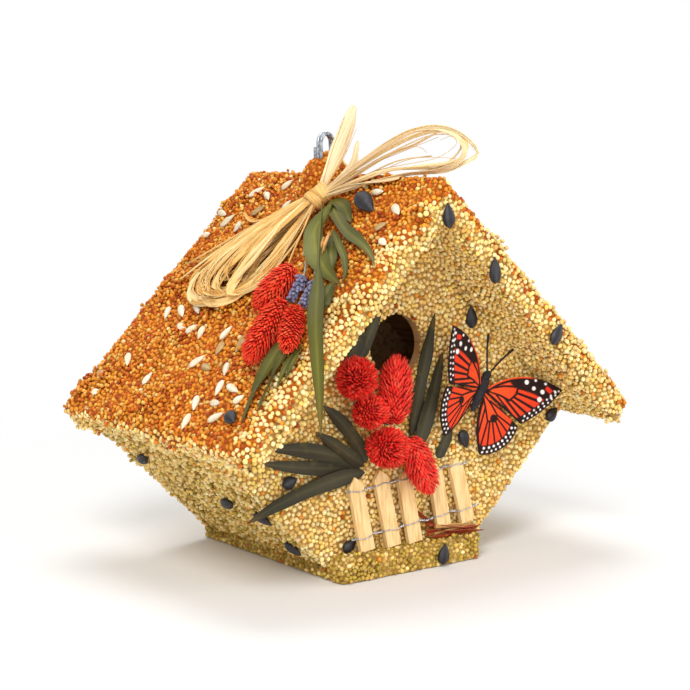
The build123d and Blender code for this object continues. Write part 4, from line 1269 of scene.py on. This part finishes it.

# %% [markdown]
# ## Dyed grass heads
# The red heads are dried grass heads, dyed: hundreds of small pointed bracts packed in a spiral on a
# stalk, each one painted darker at its root for the shade where it is tucked under the next, over a core
# painted in that shade. A red egg with a bump map would give itself away at the outline, so every bract is
# modelled, set round the stalk by the golden angle as plants do.

# %% Bracts in a spiral
golden_angle = math.pi * (3 - math.sqrt(5))
head_share = 0.92
bracts_per_square_mm = 2.3
bract_rows, bract_width, bract_flat = 6, 0.78, 0.42
bract_swell = np.array([0.5, 0.95, 1.0, 0.78, 0.42, 0.05])[:, None, None]
bract_steps = np.linspace(0, 1, bract_rows)[:, None]
# how bright a bract is from its root to its tip: painted shade at the root, where the next bract covers it
bract_painted_shade = np.interp(np.linspace(0, 1, bract_rows), [0, 0.35, 0.8, 1], [0, 0.75, 1.0, 1.0])[:, None]
# how far the bracts stand out, in radians, from the foot of the head to its tip
splay_at, splay_angle = [0, 0.25, 0.8, 1], [1.45, 1.0, 0.7, 0.2]


def bulge_at(share):
    """How wide an egg is along its length."""
    return np.sqrt(1 - (2 * share - 1) ** 2)


def grass_head(name, face, base, tip, radius, stands_for, seed, colours):
    random = np.random.default_rng(seed)
    base, tip = np.array(base, float), np.array(tip, float)
    length = np.linalg.norm(tip - base)
    axis = (tip - base) / length
    beside = unit(np.cross(axis, (0.3, 0.2, 0.9)))
    above = np.cross(axis, beside)
    pile = Pile(face.place)
    core_at = np.linspace(0.03, 0.97, 14)
    core_path = base + axis * (core_at * head_share * length)[:, None]
    dark, mid, bright = (tint_of(*colour) for colour in colours)
    # painted shade: the core between the bracts takes the darkest colour
    pile.add(carry(core_path, beside, round_section(0.7 * radius * bulge_at(core_at), 12)), dark)
    count = int(bracts_per_square_mm * length * radius)
    for number in range(count):
        share = (number + 0.5) / count
        around = number * golden_angle
        out = beside * math.cos(around) + above * math.sin(around)
        at = 0.01 + 0.985 * share
        bulge = bulge_at(at)
        splay = np.interp(share, splay_at, splay_angle) + 0.16 * random.normal()
        heading = axis * math.cos(splay) + out * math.sin(splay)
        start = base + axis * at * head_share * length + out * 0.66 * radius * bulge
        long = 0.44 * radius * random.uniform(0.8, 1.2) * (0.7 + 0.3 * bulge)
        curl = axis * (0.28 * long)
        path = start + heading * long * bract_steps + curl * bract_steps**2
        width = bract_width * random.uniform(0.75, 1.25)
        angle = np.arange(4) * np.pi / 2
        section = np.stack([np.cos(angle) * width, np.sin(angle) * width * bract_flat], -1)
        section = section[None] * bract_swell
        hue = mid + (bright - mid) * random.random() ** 2
        # painted shade towards each bract's root
        tints = dark + (hue - dark) * bract_painted_shade
        tints = np.clip(tints * random.uniform(0.78, 1.15), 0, 1)
        pile.add(carry(path, np.cross(axis, out), section), tints[:, None])
    pile.put(name, bract_finish, stands_for)


print("each bract is turned by", round(math.degrees(golden_angle), 1), "degrees from the last")

# %% Heads on the roof and the front
bract_finish = fine_finish(
    "papery_bract", 0.25, (1300, 2), (0.4, 0.75, 0.35, (214, 110, 104), "MULTIPLY"), (0.6, 0.2), (0.0001, 0.4)
)
# each head's colours: a painted shade for the bracts' roots and the core, the bracts' red, and their
# brightest red
roof_red = [(164, 22, 12), (244, 58, 30), (255, 104, 62)]
face_red = [(170, 16, 16), (246, 50, 40), (255, 98, 72)]
# where each head starts and ends on its face, and its radius
roof_heads = [
    ((57, 31, 7.6), (80, 27, 7.6), 6.4), ((74, 41, 7.4), (106, 48, 7.2), 6.4),
    ((76, 51, 6.4), (97, 66, 6.4), 5.2),
]
face_heads = [
    ((-25, 70.8, 3.5), (-37, 79.1, 22.9), 8.7), ((-9, 53, 8.2), (-7, 81.7, 8.7), 7.7),
    ((-21, 57.9, 3.2), (-27, 62.9, 21), 7.4), ((-12.5, 43.3, 3.4), (-20.2, 46.6, 23.4), 8.9),
    ((0.4, 46.5, 6.6), (5.3, 23.1, 14.2), 7.1),
]
head_groups = [("roof", left_roof, roof_heads, 40, roof_red), ("face", front, face_heads, 50, face_red)]
for where, face, heads, seed, colours in head_groups:
    for number, head in enumerate(heads, start=1):
        stands_for = [f"{where}_flower_{number}"]
        grass_head(f"{where}_head_{number}", face, *head, stands_for, seed + number, colours)

# %% [markdown]
# ## Lavender
# Two short sprigs of lavender show between the leaves: a pale grey stalk with whorls of small ribbed
# buds, blue-violet at the tip and greyer at the base. Each bud is a small loft set out from the stalk.

# %% Sprigs of buds
sprig_random = np.random.default_rng(61)
sprig_pile = Pile(left_roof.place)
# the stalk's root, and the base and tip of the part that carries buds
sprigs = [((44, 25, 3.0), (60, 36.5, 3.8), (71, 39.5, 4.2)), ((46, 32, 3.0), (62, 47, 3.8), (72, 50, 4.2))]
bud_dark, bud_light = tint_of(66, 64, 98), tint_of(160, 160, 192)
bud_shade = bud_dark + (bud_light - bud_dark) * np.array([0.9, 0.6, 0.3, 0.2, 0.5, 0.8])[:, None]
bud_section = round_section(0.88 * np.array([0.45, 0.85, 1.0, 0.95, 0.7, 0.25]), 6)
bud_steps = np.linspace(0, 1, 6)[:, None]
whorls, whorl_step, buds_round = 7, 1.9, 6
stalk_rows, stalk_radius, stalk_tint = 20, 0.42, tint_of(158, 160, 148)
for root, base, tip in np.array(sprigs):
    stalk = smooth_path([root, (root + base) / 2 + (0, 0, 0.5), base, tip], stalk_rows)
    stalk_section = round_section(np.full(stalk_rows, stalk_radius), 6)
    sprig_pile.add(carry(stalk, (0, 0, 1), stalk_section), stalk_tint)
    axis = unit(tip - base)
    beside = unit(np.cross(axis, (0, 0, 1)))
    above = np.cross(beside, axis)
    for whorl in range(whorls):
        for bud in range(buds_round):
            around = bud * np.pi / 3 + whorl * 0.5
            out = beside * math.cos(around) + above * math.sin(around)
            start = base + axis * (whorl * whorl_step - 1.0) + out * 0.35
            long = sprig_random.uniform(2.8, 3.9) * (1 - 0.06 * whorl)
            heading = unit(axis * 0.75 + out * 0.75 + 0.12 * sprig_random.normal(size=3))
            tints = np.clip(bud_shade[:, None] * sprig_random.uniform(0.7, 1.2), 0, 1)
            sprig_pile.add(carry(start + heading * long * bud_steps, out, bud_section), tints)
bud_finish = fine_finish(
    "dusty_bud", 0.2, (1100, 3), (0.45, 0.7, 0.45, (176, 176, 196)), (0.75, 0.15), (0.0002, 0.5)
)
sprig_pile.put("lavender_buds", bud_finish, ["lavender_sprigs"])

# %% [markdown]
# ## The fence
# Five split pickets of pale pine are held by two thin galvanised wires. Each wire has two strands: one
# passes before a picket and one behind it, and they are twisted together in the gaps, which is what keeps
# the pickets apart. The wires are lofted along measured paths; the pickets are the measured pieces.

# %% Twisted wires
fence_wire_random = np.random.default_rng(71)
# each picket's middle at its foot and its top, across the front, and how high its top is
picket_across = [[-21.9, -26.0], [-8.3, -13.0], [3.0, -0.8], [18.8, 16.0], [32.0, 27.0]]
picket_top = [32.2, 33.5, 31.0, 32.3, 33.3]
picket_half = 3.5
fence_foot_out, fence_lean, fence_height = 6.0, 3.6, 35.5
wire_rows, wire_radius, strand_apart, strand_open = 320, 0.24 * MM, 0.34, 1.5
turns_per_mm = 2.6
wire_tint = tint_of(196, 198, 204)


def picket_middle(number, height):
    """Where a picket's middle is, across the front, at a height above the porch."""
    foot, top = picket_across[number]
    return foot + (top - foot) * height / picket_top[number]


def twisted_wire(pile, left, right):
    """Two strands from left to right: twisted in the gaps, apart before and behind each picket."""
    share = np.linspace(0, 1, wire_rows)
    across = left[0] + (right[0] - left[0]) * share
    height = left[1] + (right[1] - left[1]) * share
    middles = []
    for number in range(len(picket_across)):
        wire_at = np.interp(picket_middle(number, left[1]), [left[0], right[0]], [left[1], right[1]])
        middles.append(picket_middle(number, wire_at))
    nearest = np.min(np.abs(across[:, None] - np.array(middles)[None]), axis=1)
    open_up = np.clip((picket_half + 0.8 - nearest) / 1.2, 0, 1)
    open_up = open_up * open_up * (3 - 2 * open_up)
    wander = 0.35 * np.sin(share * 23 + fence_wire_random.uniform(0, 6)) + 0.25 * np.sin(share * 51)
    fence_out = fence_foot_out - fence_lean * height / fence_height
    for strand, before in ((0, 1), (1, -1)):
        phase = across * turns_per_mm + strand * np.pi
        twined = (1 - open_up) * strand_apart
        off = fence_out + twined * np.cos(phase) + open_up * before * strand_open
        up = height + wander + twined * np.sin(phase)
        path = front.place(np.stack([across, up, off], -1))
        pile.add(carry(path, (0, 0.3, 1), round_section(np.full(wire_rows, wire_radius), 6)), wire_tint)


print("two strands of", 2 * wire_radius / MM, "mm pass", len(picket_across), "pickets")

# %% Zinc, and both wires
def zinc(name, bright, dull):
    finish = Finish(name, Metallic=0.85)
    spangle = finish.noise(700, 2)
    colour = finish.mix(spangle.ramp(0.35, 0.7), linear(*bright), linear(*dull))
    dents = finish.bump(spangle, 0.0001, 0.3)
    return finish.wear(Base_Color=colour, Roughness=0.28 + spangle * 0.2, Normal=dents)


zinc_finish = zinc("zinc_wire", (206, 208, 214), (150, 152, 158))
for name, ends in (("upper", ((-30, 26), (35, 31.5))), ("lower", ((-29, 6.5), (38.5, 12.2)))):
    wire_pile = Pile()
    twisted_wire(wire_pile, *ends)
    wire_pile.put(f"fence_{name}_twist", zinc_finish, [f"fence_{name}_wire"])

# %% [markdown]
# ## Wood and wire
# The pickets, boards, dowel, hanger and pins are the measured pieces themselves, so they only get a
# finish, and the pickets a small bevel, because split pine has no razor edges. A picture of wood would do
# for a board, but stretched noise gives growth lines that run the right way on every piece.

# %% Pine pickets, plywood and dowel
long_grain = 0.05
ease_width, ease_segments = 0.45 * MM, 3


def sawn_wood(name, pale, deep, grain_way, fine):
    finish = Finish(name, Specular_IOR_Level=0.3)
    stretch = [fine if way == 0 else fine * long_grain for way in grain_way]
    lines = finish.noise(1.0, 4, finish.place(stretch))
    broad = finish.noise(0.22, 2, finish.place(stretch))
    colour = finish.mix(lines.ramp(0.38, 0.72), linear(*pale), linear(*deep))
    colour = finish.stain(colour, broad, 0.4, 0.7, 0.5, pale)
    return finish.wear(Base_Color=colour, Roughness=0.55 + lines * 0.2, Normal=finish.bump(lines, 0.0002))


pine = sawn_wood("pale_pine", (240, 206, 148), (212, 166, 100), (0, 0, 1), 900)
for number in range(1, len(picket_across) + 1):
    picket = f"fence_picket_{number}"
    repaint(picket, pine)
    ease = nodes[picket].modifiers.new("eased_edges", "BEVEL")
    ease.width = ease_width
    ease.segments = ease_segments
    ease.limit_method = "ANGLE"
plywood = sawn_wood("birch_plywood", (212, 166, 112), (166, 116, 68), (0, 1, 0), 500)
boards = [name for name in structure if name.endswith(("_panel", "_wall", "_board"))]
for board in boards:
    repaint(board, plywood)
repaint("hanger_dowel", sawn_wood("turned_dowel", (214, 172, 112), (170, 122, 68), (0, 1, 0), 700))
repaint("hanger_wire", zinc("hanger_zinc", (178, 182, 188), (112, 116, 122)))
repaint("flower_pegs", zinc("peg_wire", (120, 124, 118), (74, 80, 72)))
repaint("butterfly_pin", zinc_finish)
print(len(picket_across), "pickets and", len(boards), "boards are wood, and the pins and hanger zinc")

# %% [markdown]
# ## Dried stems at the foot of the fence
# Behind the right-hand pickets lie a few reddish dried blades and straws. They are lofted as flat,
# pointed strips and thin tapering straws, laid nearly level on the porch.

# %% Red blades and straws
stem_random = np.random.default_rng(81)
stem_pile = Pile(front.place)
red_blade = [(122, 42, 22), (206, 92, 48)]
stem_blades = [
    ([(9, 5.2, 5.0), (18, 3.6, 6.6), (29, 2.4, 7.4), (39.5, 1.2, 7.6)], 3.6),
    ([(10, 7.5, 4.6), (20, 5.4, 5.6), (30, 3.4, 6.6), (39, 3.2, 6.0)], 2.6),
    ([(12, 2.0, 6.2), (22, 1.8, 6.8), (31, 1.6, 6.6), (38, 2.6, 5.4)], 3.0),
    ([(6, 13.5, 3.4), (10, 10.0, 4.0), (14, 6.0, 4.8), (17, 3.0, 5.4)], 2.4),
]
straws, straw_rows = 5, 18
straw_tones = [tint_of(198, 150, 88), tint_of(170, 84, 48)]
straw_section = round_section(np.linspace(0.75, 0.4, straw_rows), 6)
for points, width in stem_blades:
    lay_blade(stem_pile, stem_random, smooth_path(points, 26), width, (0, 0.6, 0.8), red_blade, 0.3)
for number in range(straws):
    start = np.array([stem_random.uniform(*span) for span in ((10, 14), (2, 7), (4.5, 6.5))])
    end = np.array([stem_random.uniform(*span) for span in ((34, 39), (1.6, 4.4), (4.8, 7))])
    middle = (start + end) / 2 + (0, stem_random.uniform(-0.6, 0.8), 0)
    path = smooth_path([start, middle, end], straw_rows)
    stem_pile.add(carry(path, (0, 0, 1), straw_section), straw_tones[number % 2])
stem_pile.put("dried_stem_blades", leaf_finish, ["dried_stems"], leaf_sharp)

# %% [markdown]
# ## The butterfly
# The butterfly is a craft one: printed fabric wings on a black, flocked body, with wire feelers. Its wings
# are orange with black veins and a black edge that carries two rows of white dots. A picture could be
# pasted on a flat cut-out, but here the pattern is drawn by rule: each point of the wing measures how far
# it is from the edges and veins, and takes its colour from that. The veins are raised a little as well.

# %% Measuring on a wing
def arc(start, middle, end):
    """Points on the circle through three places, from the first to the last."""
    first, second, third = (complex(*place) for place in (start, middle, end))
    ratio = (third - first) / (second - first)
    centre = first + (second - first) * (ratio - abs(ratio) ** 2) / (2j * ratio.imag)
    sweep = np.angle((third - centre) / (first - centre))
    round_it = centre + (first - centre) * np.exp(1j * sweep * np.linspace(0, 1, 40))
    return np.stack([round_it.real, round_it.imag], -1)


def evenly(path, count, start=0.0):
    """Places spaced evenly along a path, from a start to as far before its end."""
    path = np.asarray(path, float)
    run = np.concatenate([[0], np.cumsum(np.linalg.norm(np.diff(path, axis=0), axis=1))])
    at = start + (run[-1] - 2 * start) * np.linspace(0, 1, count)
    return np.stack([np.interp(at, run, path[:, axis]) for axis in (0, 1)], -1)


def off_path(points, path):
    """How far points are from a path."""
    path = np.asarray(path, float)
    least = np.full(points.shape[:-1], np.inf)
    for start, end in zip(path[:-1], path[1:]):
        run = end - start
        share = np.clip((points - start) @ run / (run @ run), 0, 1)
        least = np.minimum(least, np.linalg.norm(points - start - share[..., None] * run, axis=-1))
    return least


def soft(edge, distance, blur=0.12):
    """1 inside a distance, 0 outside it, with a narrow soft edge."""
    return np.clip((edge - distance) / (2 * blur) + 0.5, 0, 1)


def edge_dots(points, path, inset, count, start, radius):
    """White dots in a row, a little inside an edge that runs from the wing's tip backwards."""
    row = evenly(path, count, start)
    along = unit(np.gradient(row, axis=0))
    spots = row + inset * np.stack([along[:, 1], -along[:, 0]], -1)
    return np.max([soft(radius, np.linalg.norm(points - spot, axis=-1)) for spot in spots], axis=0)


print("an arc is drawn in", len(arc((0, 0), (1, 1), (2, 0))), "points")

# %% Edges and veins
forewing_lead = arc((2.6, 2.4), (18, 14.3), (36, 16))
forewing_edge = arc((36, 16), (31, 4.5), (23.5, -5.6))
forewing_back = [(23.5, -5.6), (2.6, 0)]
hindwing_top = [(2.6, 0), (23, -7)]
hindwing_edge = arc((23, -7), (20, -18.5), (11, -25.5))
hindwing_side = arc((11, -25.5), (5.2, -16), (2.6, -4))
forewing_veins = [
    [(2.6, 1.8), (9, 6), (15.5, 8.6)], [(2.6, 0.8), (9, 1.6), (14, 1.4)], [(15.5, 8.6), (15.8, 5), (14, 1.4)],
    [(15.5, 8.0), (29, 11)], [(15.8, 5.8), (31, 7.2)], [(15.4, 3.6), (29.5, 2.6)], [(14.4, 2), (27, -1.2)],
    [(11, 1.6), (23.5, -4)], [(7, 1.2), (17, -3.4)],
]
hindwing_veins = [
    [(2.6, -1.2), (7, -3.4), (11.5, -6.6)], [(2.6, -2.4), (5.5, -6.5), (8.4, -11)],
    [(11.5, -6.6), (11, -9.6), (8.4, -11)], [(11.5, -6.6), (21.5, -8.6)], [(11.6, -7.6), (21.4, -12.6)],
    [(11.2, -8.8), (19.8, -16.8)], [(10.4, -10), (17, -20.6)], [(9.4, -10.8), (13.4, -23)],
    [(8.4, -11), (10, -24)], [(5, -5.6), (6.6, -18)], [(6, -2.4), (18, -5)],
]
# the place and radius of each white spot in the forewing's black tip, and the orange bar among them
apex_spots = [
    (18.5, 12.1, 1.0), (22.7, 11.0, 0.9), (27.2, 11.3, 1.0), (27.2, 7.7, 1.1),
    (22.3, 14.6, 0.6), (27.3, 15.2, 0.6), (33.2, 13.8, 0.6), (32.2, 10.8, 0.6),
]
apex_bar = [(29, 13.6), (32.6, 12.6)]
# how far the black tip reaches back from the leading edge, at these places along the wing
apex_along, apex_reach = [10, 14, 20, 36], [0.5, 4.4, 6.4, 9.5]
# how far inside the edge each row of dots is, how many it has, where it starts and their radius
forewing_dots = [(1.0, 10, 1.5, 0.42), (2.5, 8, 3.0, 0.46)]
hindwing_dots = [(1.1, 10, 1.2, 0.46), (2.8, 8, 2.2, 0.54)]
print(len(forewing_veins), "veins on a forewing and", len(hindwing_veins), "on a hindwing")

# %% Where a wing is black, white and raised
def vein_marks(points, veins):
    """How far points are from the nearest vein, and how much it is raised there."""
    apart = np.min([off_path(points, vein) for vein in veins], axis=0)
    return apart, soft(0.3, apart, 0.25)


def forewing_marks(points):
    """How black, how white and how raised a forewing is at each point."""
    u, v = points[..., 0], points[..., 1]
    lead = off_path(points, forewing_lead)
    vein, raised = vein_marks(points, forewing_veins)
    apex = soft(np.interp(u, apex_along, apex_reach), lead, 0.4)
    apex = apex * (1 - soft(1.0, off_path(points, apex_bar)))
    dark = np.max([
        soft(0.32 + 0.013 * u, vein), soft(3.4, off_path(points, forewing_edge), 0.3), soft(1.6, lead, 0.2),
        apex, soft(0.8, off_path(points, forewing_back)),
    ], axis=0)
    dark = dark * (1 - soft(0.55, lead) * soft(21, u, 2))
    dots = [edge_dots(points, forewing_edge, *row) for row in forewing_dots]
    dots += [soft(radius, np.hypot(u - x, v - y)) for x, y, radius in apex_spots]
    return dark, np.max(dots, axis=0), raised


def hindwing_marks(points):
    """The same for a hindwing, with a black scent spot by its cell."""
    u, v = points[..., 0], points[..., 1]
    vein, raised = vein_marks(points, hindwing_veins)
    dark = np.max([
        soft(0.42, vein), soft(4.0, off_path(points, hindwing_edge), 0.3),
        soft(1.0, off_path(points, hindwing_side)),
        soft(1.2, np.hypot(u - 10.6, v + 8.6) - 0.6, 0.2) * soft(5.6, np.abs(u - 12)),
    ], axis=0)
    dots = [edge_dots(points, hindwing_edge, *row) for row in hindwing_dots]
    return dark, np.max(dots, axis=0), raised


print("at its root a forewing is", forewing_marks(np.array([[2.6, 1.2]]))[0], "black")

# %% Four wings
wing_lean, wing_lift = math.radians(29), math.radians(15)
wing_level = np.array([math.cos(wing_lean), 0, -math.sin(wing_lean)])
wing_head = np.array([math.sin(wing_lean), 0, math.cos(wing_lean)])
wing_out = np.array([0, -1.0, 0])
butterfly_centre = front.place((40.5, 62.0, 5.0))
wing_columns, wing_rows, under_rows = 220, 48, 8
wing_thick, wing_crown, vein_height = 0.5, 0.5, 0.14
wing_sharp = 50
black, white = tint_of(36, 18, 16), tint_of(252, 246, 240)
deep_orange, warm_orange = tint_of(232, 54, 28), tint_of(248, 92, 38)
deep_from = 30


def wing(hand, side, kind, outline, middle, marks, drop):
    """One wing as a loft from its middle out to its rim and back underneath, coloured by its marks."""
    along = wing_level * side * math.cos(wing_lift) + wing_out * math.sin(wing_lift)
    off = wing_out * math.cos(wing_lift) - wing_level * side * math.sin(wing_lift)
    rim = evenly(np.concatenate([*outline, outline[0][:1]]), wing_columns + 1)[:-1]
    share = np.concatenate([np.linspace(0.01, 1, wing_rows), np.linspace(1, 0.01, under_rows)])
    points = np.array(middle) + share[:, None, None] * (rim - np.array(middle))
    dark, light, raised = marks(points)
    fade = np.clip(np.hypot(points[..., 0], points[..., 1]) / deep_from, 0, 1)[..., None]
    tints = warm_orange + (deep_orange - warm_orange) * fade
    tints = tints + (black - tints) * dark[..., None]
    tints = tints + (white - tints) * light[..., None]
    above = np.where(np.arange(len(share)) < wing_rows, wing_thick, 0)[:, None]
    crown = wing_crown * (1 - share[:, None] ** 2) + vein_height * raised
    height = above + crown * (above > 0) - drop
    rings = points[..., :1] * along + points[..., 1:] * wing_head + height[..., None] * off
    pile = Pile()
    pile.add(butterfly_centre + MM * rings, tints)
    name = f"{hand}_{kind}"
    pile.put(f"{name}_print", wing_finish, [f"butterfly_{name}"], wing_sharp)


wing_finish = fine_finish(
    "printed_fabric", 0.2, (2600, 2), (0.4, 0.7, 0.3, (150, 120, 110), "MULTIPLY"), (0.7, 0.2), (0.0001, 0.3),
    ((260, 2), (0.5, 0.7, 0.12, (120, 20, 12), "MULTIPLY")),
)
forewing_outline = [forewing_lead[:-1], forewing_edge[:-1], np.array(forewing_back)]
hindwing_outline = [np.array(hindwing_top)[:-1], hindwing_edge[:-1], hindwing_side]
for side, hand in ((-1, "left"), (1, "right")):
    wing(hand, side, "forewing", forewing_outline, (20, 6), forewing_marks, 0.0)
    wing(hand, side, "hindwing", hindwing_outline, (12, -11), hindwing_marks, 0.8)

# %% [markdown]
# ## The butterfly's body
# The body is a turned shape under black flock, short fibres blown onto glue, and two wires with thickened
# ends are its feelers. Hair particles could be the flock, but a few hundred lofted hairs are meshes like
# everything else here, and they show at the outline as real flock does.

# %% Flocked body
body_random = np.random.default_rng(91)
body_pile = Pile()
# the body's radius at places along it, from its tail to its head, in mm
body_at = np.array([-10, -9.4, -7, -4, -1.5, 0.4, 2.4, 4.6, 5.8, 6.6, 7.8, 8.8, 9.3])
body_radii = np.array([0.25, 0.9, 1.45, 1.7, 1.75, 2.05, 2.3, 2.1, 1.5, 1.75, 1.75, 1.2, 0.3])
body_rows = np.linspace(-10, 9.3, 48)
rings_per_mm = 4.5
body_waves = np.sin(body_rows * rings_per_mm)
body_ring = np.interp(body_rows, body_at, body_radii) * (1 + 0.05 * body_waves * (body_rows < 0))
body_path = butterfly_centre + MM * (body_rows[:, None] * wing_head)
charcoal = tint_of(38, 36, 40)
banded = charcoal * (1 + 0.7 * np.clip(body_waves, 0, 1) * (body_rows < 0))[:, None, None]
body_pile.add(carry(body_path, wing_level, round_section(body_ring * MM, 20)), banded)
hairs, hair_side = 420, (0.2, 0.5, 0.84)
hair_section = round_section(MM * np.array([0.09, 0.07, 0.02]), 4)
for number in range(hairs):
    at = body_random.uniform(-9, 8.6)
    around = body_random.uniform(0, 2 * np.pi)
    out = wing_level * math.cos(around) + wing_out * math.sin(around)
    root = wing_head * at + out * np.interp(at, body_at, body_radii) * 0.93
    heading = unit(out + 0.8 * body_random.normal(size=3) - 0.4 * wing_head)
    hair = root + heading * np.linspace(0, body_random.uniform(0.5, 1.1), 3)[:, None]
    rings = carry(butterfly_centre + MM * hair, hair_side, hair_section)
    body_pile.add(rings, charcoal * body_random.uniform(0.6, 2.0))
flock_finish = fine_finish(
    "black_flock", 0.25, (1500, 2), (0.5, 0.75, 0.35, (84, 80, 84)), (0.7, 0.25), (0.0002, 0.6)
)
body_pile.put("butterfly_flocked_body", flock_finish, ["butterfly_body"])

# %% Wire feelers
feeler_pile = Pile()
feeler_rows = 30
feeler_radii = np.interp(np.linspace(0, 1, feeler_rows), [0, 0.75, 0.92, 1], [0.4, 0.42, 0.68, 0.4])
feeler_points = [(0.8, 8.6), (2.4, 12.0), (4.6, 16.4), (8.0, 23.2)]
for side in (-1, 1):
    bend = [
        wing_level * (x * side) + wing_head * y + wing_out * 0.4 * math.sin(y * 0.3) for x, y in feeler_points
    ]
    path = butterfly_centre + MM * smooth_path(bend, feeler_rows)
    feeler_pile.add(carry(path, wing_out, round_section(feeler_radii * MM, 10)), charcoal * 0.8)
feeler_pile.put("butterfly_feelers", flock_finish, ["butterfly_antennae"])

# %% [markdown]
# ## Camera
# The photograph was taken from the left of the front and a little above, with a long lens: the roof's
# edges hardly converge. The camera's place, turn and slight roll were solved from corners of the house.

# %% Set up the camera
camera_azimuth = math.radians(-35.0938)
camera_elevation = math.radians(7.3614)
camera_roll = math.radians(-0.919)
camera_distance = 780.976 * MM
camera_target = Vector((0.841, 0, 91.344)) * MM
camera_back = Vector((
    math.sin(camera_azimuth) * math.cos(camera_elevation),
    -math.cos(camera_azimuth) * math.cos(camera_elevation),
    math.sin(camera_elevation),
))
level = Vector((math.cos(camera_azimuth), math.sin(camera_azimuth), 0))
upright = camera_back.cross(level)
camera_right = math.cos(camera_roll) * level + math.sin(camera_roll) * upright
camera_up = -math.sin(camera_roll) * level + math.cos(camera_roll) * upright
lens = bpy.data.cameras.new("camera")
lens.sensor_width = 36.0
lens.lens = 93.03
camera = bpy.data.objects.new("camera", lens)
bpy.context.scene.collection.objects.link(camera)
camera_turn = Matrix((camera_right, camera_up, camera_back)).transposed().to_4x4()
camera.matrix_world = Matrix.Translation(camera_target + camera_back * camera_distance) @ camera_turn
bpy.context.scene.camera = camera
print("camera at", [round(x, 3) for x in camera.matrix_world.translation])

# %% [markdown]
# ## Light and floor
# Product photographs are lit by large soft boxes, so shadows are gentle and every grain has a small
# highlight. A big key box stands up and to the left, weaker ones fill from the right and from low in
# front, one lights the back from above, and the sky adds a little from all round. The floor is pale and
# keeps the shadow, and it fades to plain white far out.

# %% Soft boxes
# the place, size and power of each, in metres and watts
soft_boxes = {
    "key_box": ((-0.75, -0.75, 0.95), 0.55, 9.6),
    "fill_box": ((0.9, -0.8, 0.45), 0.9, 3.7),
    "front_box": ((-0.4, -1.15, 0.2), 0.9, 6.3),
    "top_box": ((0.1, 0.25, 1.1), 0.7, 5.0),
}
for name, (place, size, power) in soft_boxes.items():
    light = bpy.data.lights.new(name, "AREA")
    light.shape = "DISK"
    light.size = size
    light.energy = power
    lamp = bpy.data.objects.new(name, light)
    bpy.context.scene.collection.objects.link(lamp)
    lamp.location = place
    aim = Vector(place) - camera_target
    lamp.rotation_euler = aim.to_track_quat("Z", "Y").to_euler()
    print(name, power, "W at", place)

# %% Sky
sky_strength = 0.42
plain_white = (1.0, 1.0, 1.0, 1.0)


def seen_directly(writer):
    """1 for what the camera sees, straight or in a reflection or glass, and 0 for light on its way."""
    seen = writer.node("ShaderNodeLightPath", output="Is Camera Ray")
    for name in ("Is Glossy Ray", "Is Transmission Ray"):
        seen = seen.math("MAXIMUM", seen, writer.node("ShaderNodeLightPath", output=name))
    return seen


sky = bpy.data.worlds.new("pale_sky")
sky.use_nodes = True
bpy.context.scene.world = sky
air = Writer(sky.node_tree)
sky_light = air.tree.nodes["Background"]
air.feed(sky_light.inputs["Color"], plain_white)
air.feed(sky_light.inputs["Strength"], sky_strength)
sky_seen = air.node("ShaderNodeBackground", None, {"Color": plain_white, "Strength": 1.0})
sky_sockets = {0: seen_directly(air), 1: Value(air, sky_light.outputs[0]), 2: sky_seen}
sky_either = air.node("ShaderNodeMixShader", None, sky_sockets)
air.feed(air.tree.nodes["World Output"].inputs["Surface"], sky_either)
print("a white sky lights the house with strength", sky_strength)

# %% Floor
floor_drop = 0.4 * MM
floor_radius, floor_corners = 3.0, 96
white_from, white_at = 0.16, 0.42
floor_mesh = bpy.data.meshes.new("studio_floor")
rim_angles = np.linspace(0, 2 * np.pi, floor_corners, endpoint=False)
floor_rim = [(floor_radius * math.cos(a), floor_radius * math.sin(a), -floor_drop) for a in rim_angles]
floor_mesh.from_pydata(floor_rim, [], [list(range(floor_corners))])
studio_floor = bpy.data.objects.new("studio_floor", floor_mesh)
bpy.context.scene.collection.objects.link(studio_floor)


def pale_floor():
    """Pale paper that keeps the shadow near the house and is plain white, to the eye, far from it."""
    finish = Finish("pale_floor", Roughness=0.9, Specular_IOR_Level=0.0)
    fibre = finish.noise(300, 2)
    finish.wear(Base_Color=finish.mix(fibre * 0.1, linear(248, 248, 247), linear(240, 240, 238)))
    apart = finish.node("ShaderNodeVectorMath", {"operation": "LENGTH"}, {0: finish.place()}, "Value")
    glow = finish.node("ShaderNodeEmission", None, {"Color": plain_white, "Strength": 1.0})
    factor = apart.ramp(white_from, white_at) * seen_directly(finish)
    paper = Value(finish, finish.shader.outputs[0])
    both = finish.node("ShaderNodeMixShader", None, {0: factor, 1: paper, 2: glow})
    finish.feed(finish.tree.nodes["Material Output"].inputs["Surface"], both)
    return finish.material


floor_mesh.materials.append(pale_floor())
bpy.context.scene.view_settings.view_transform = "Standard"
print("a floor", round(floor_drop / MM, 2), "mm under the tray")
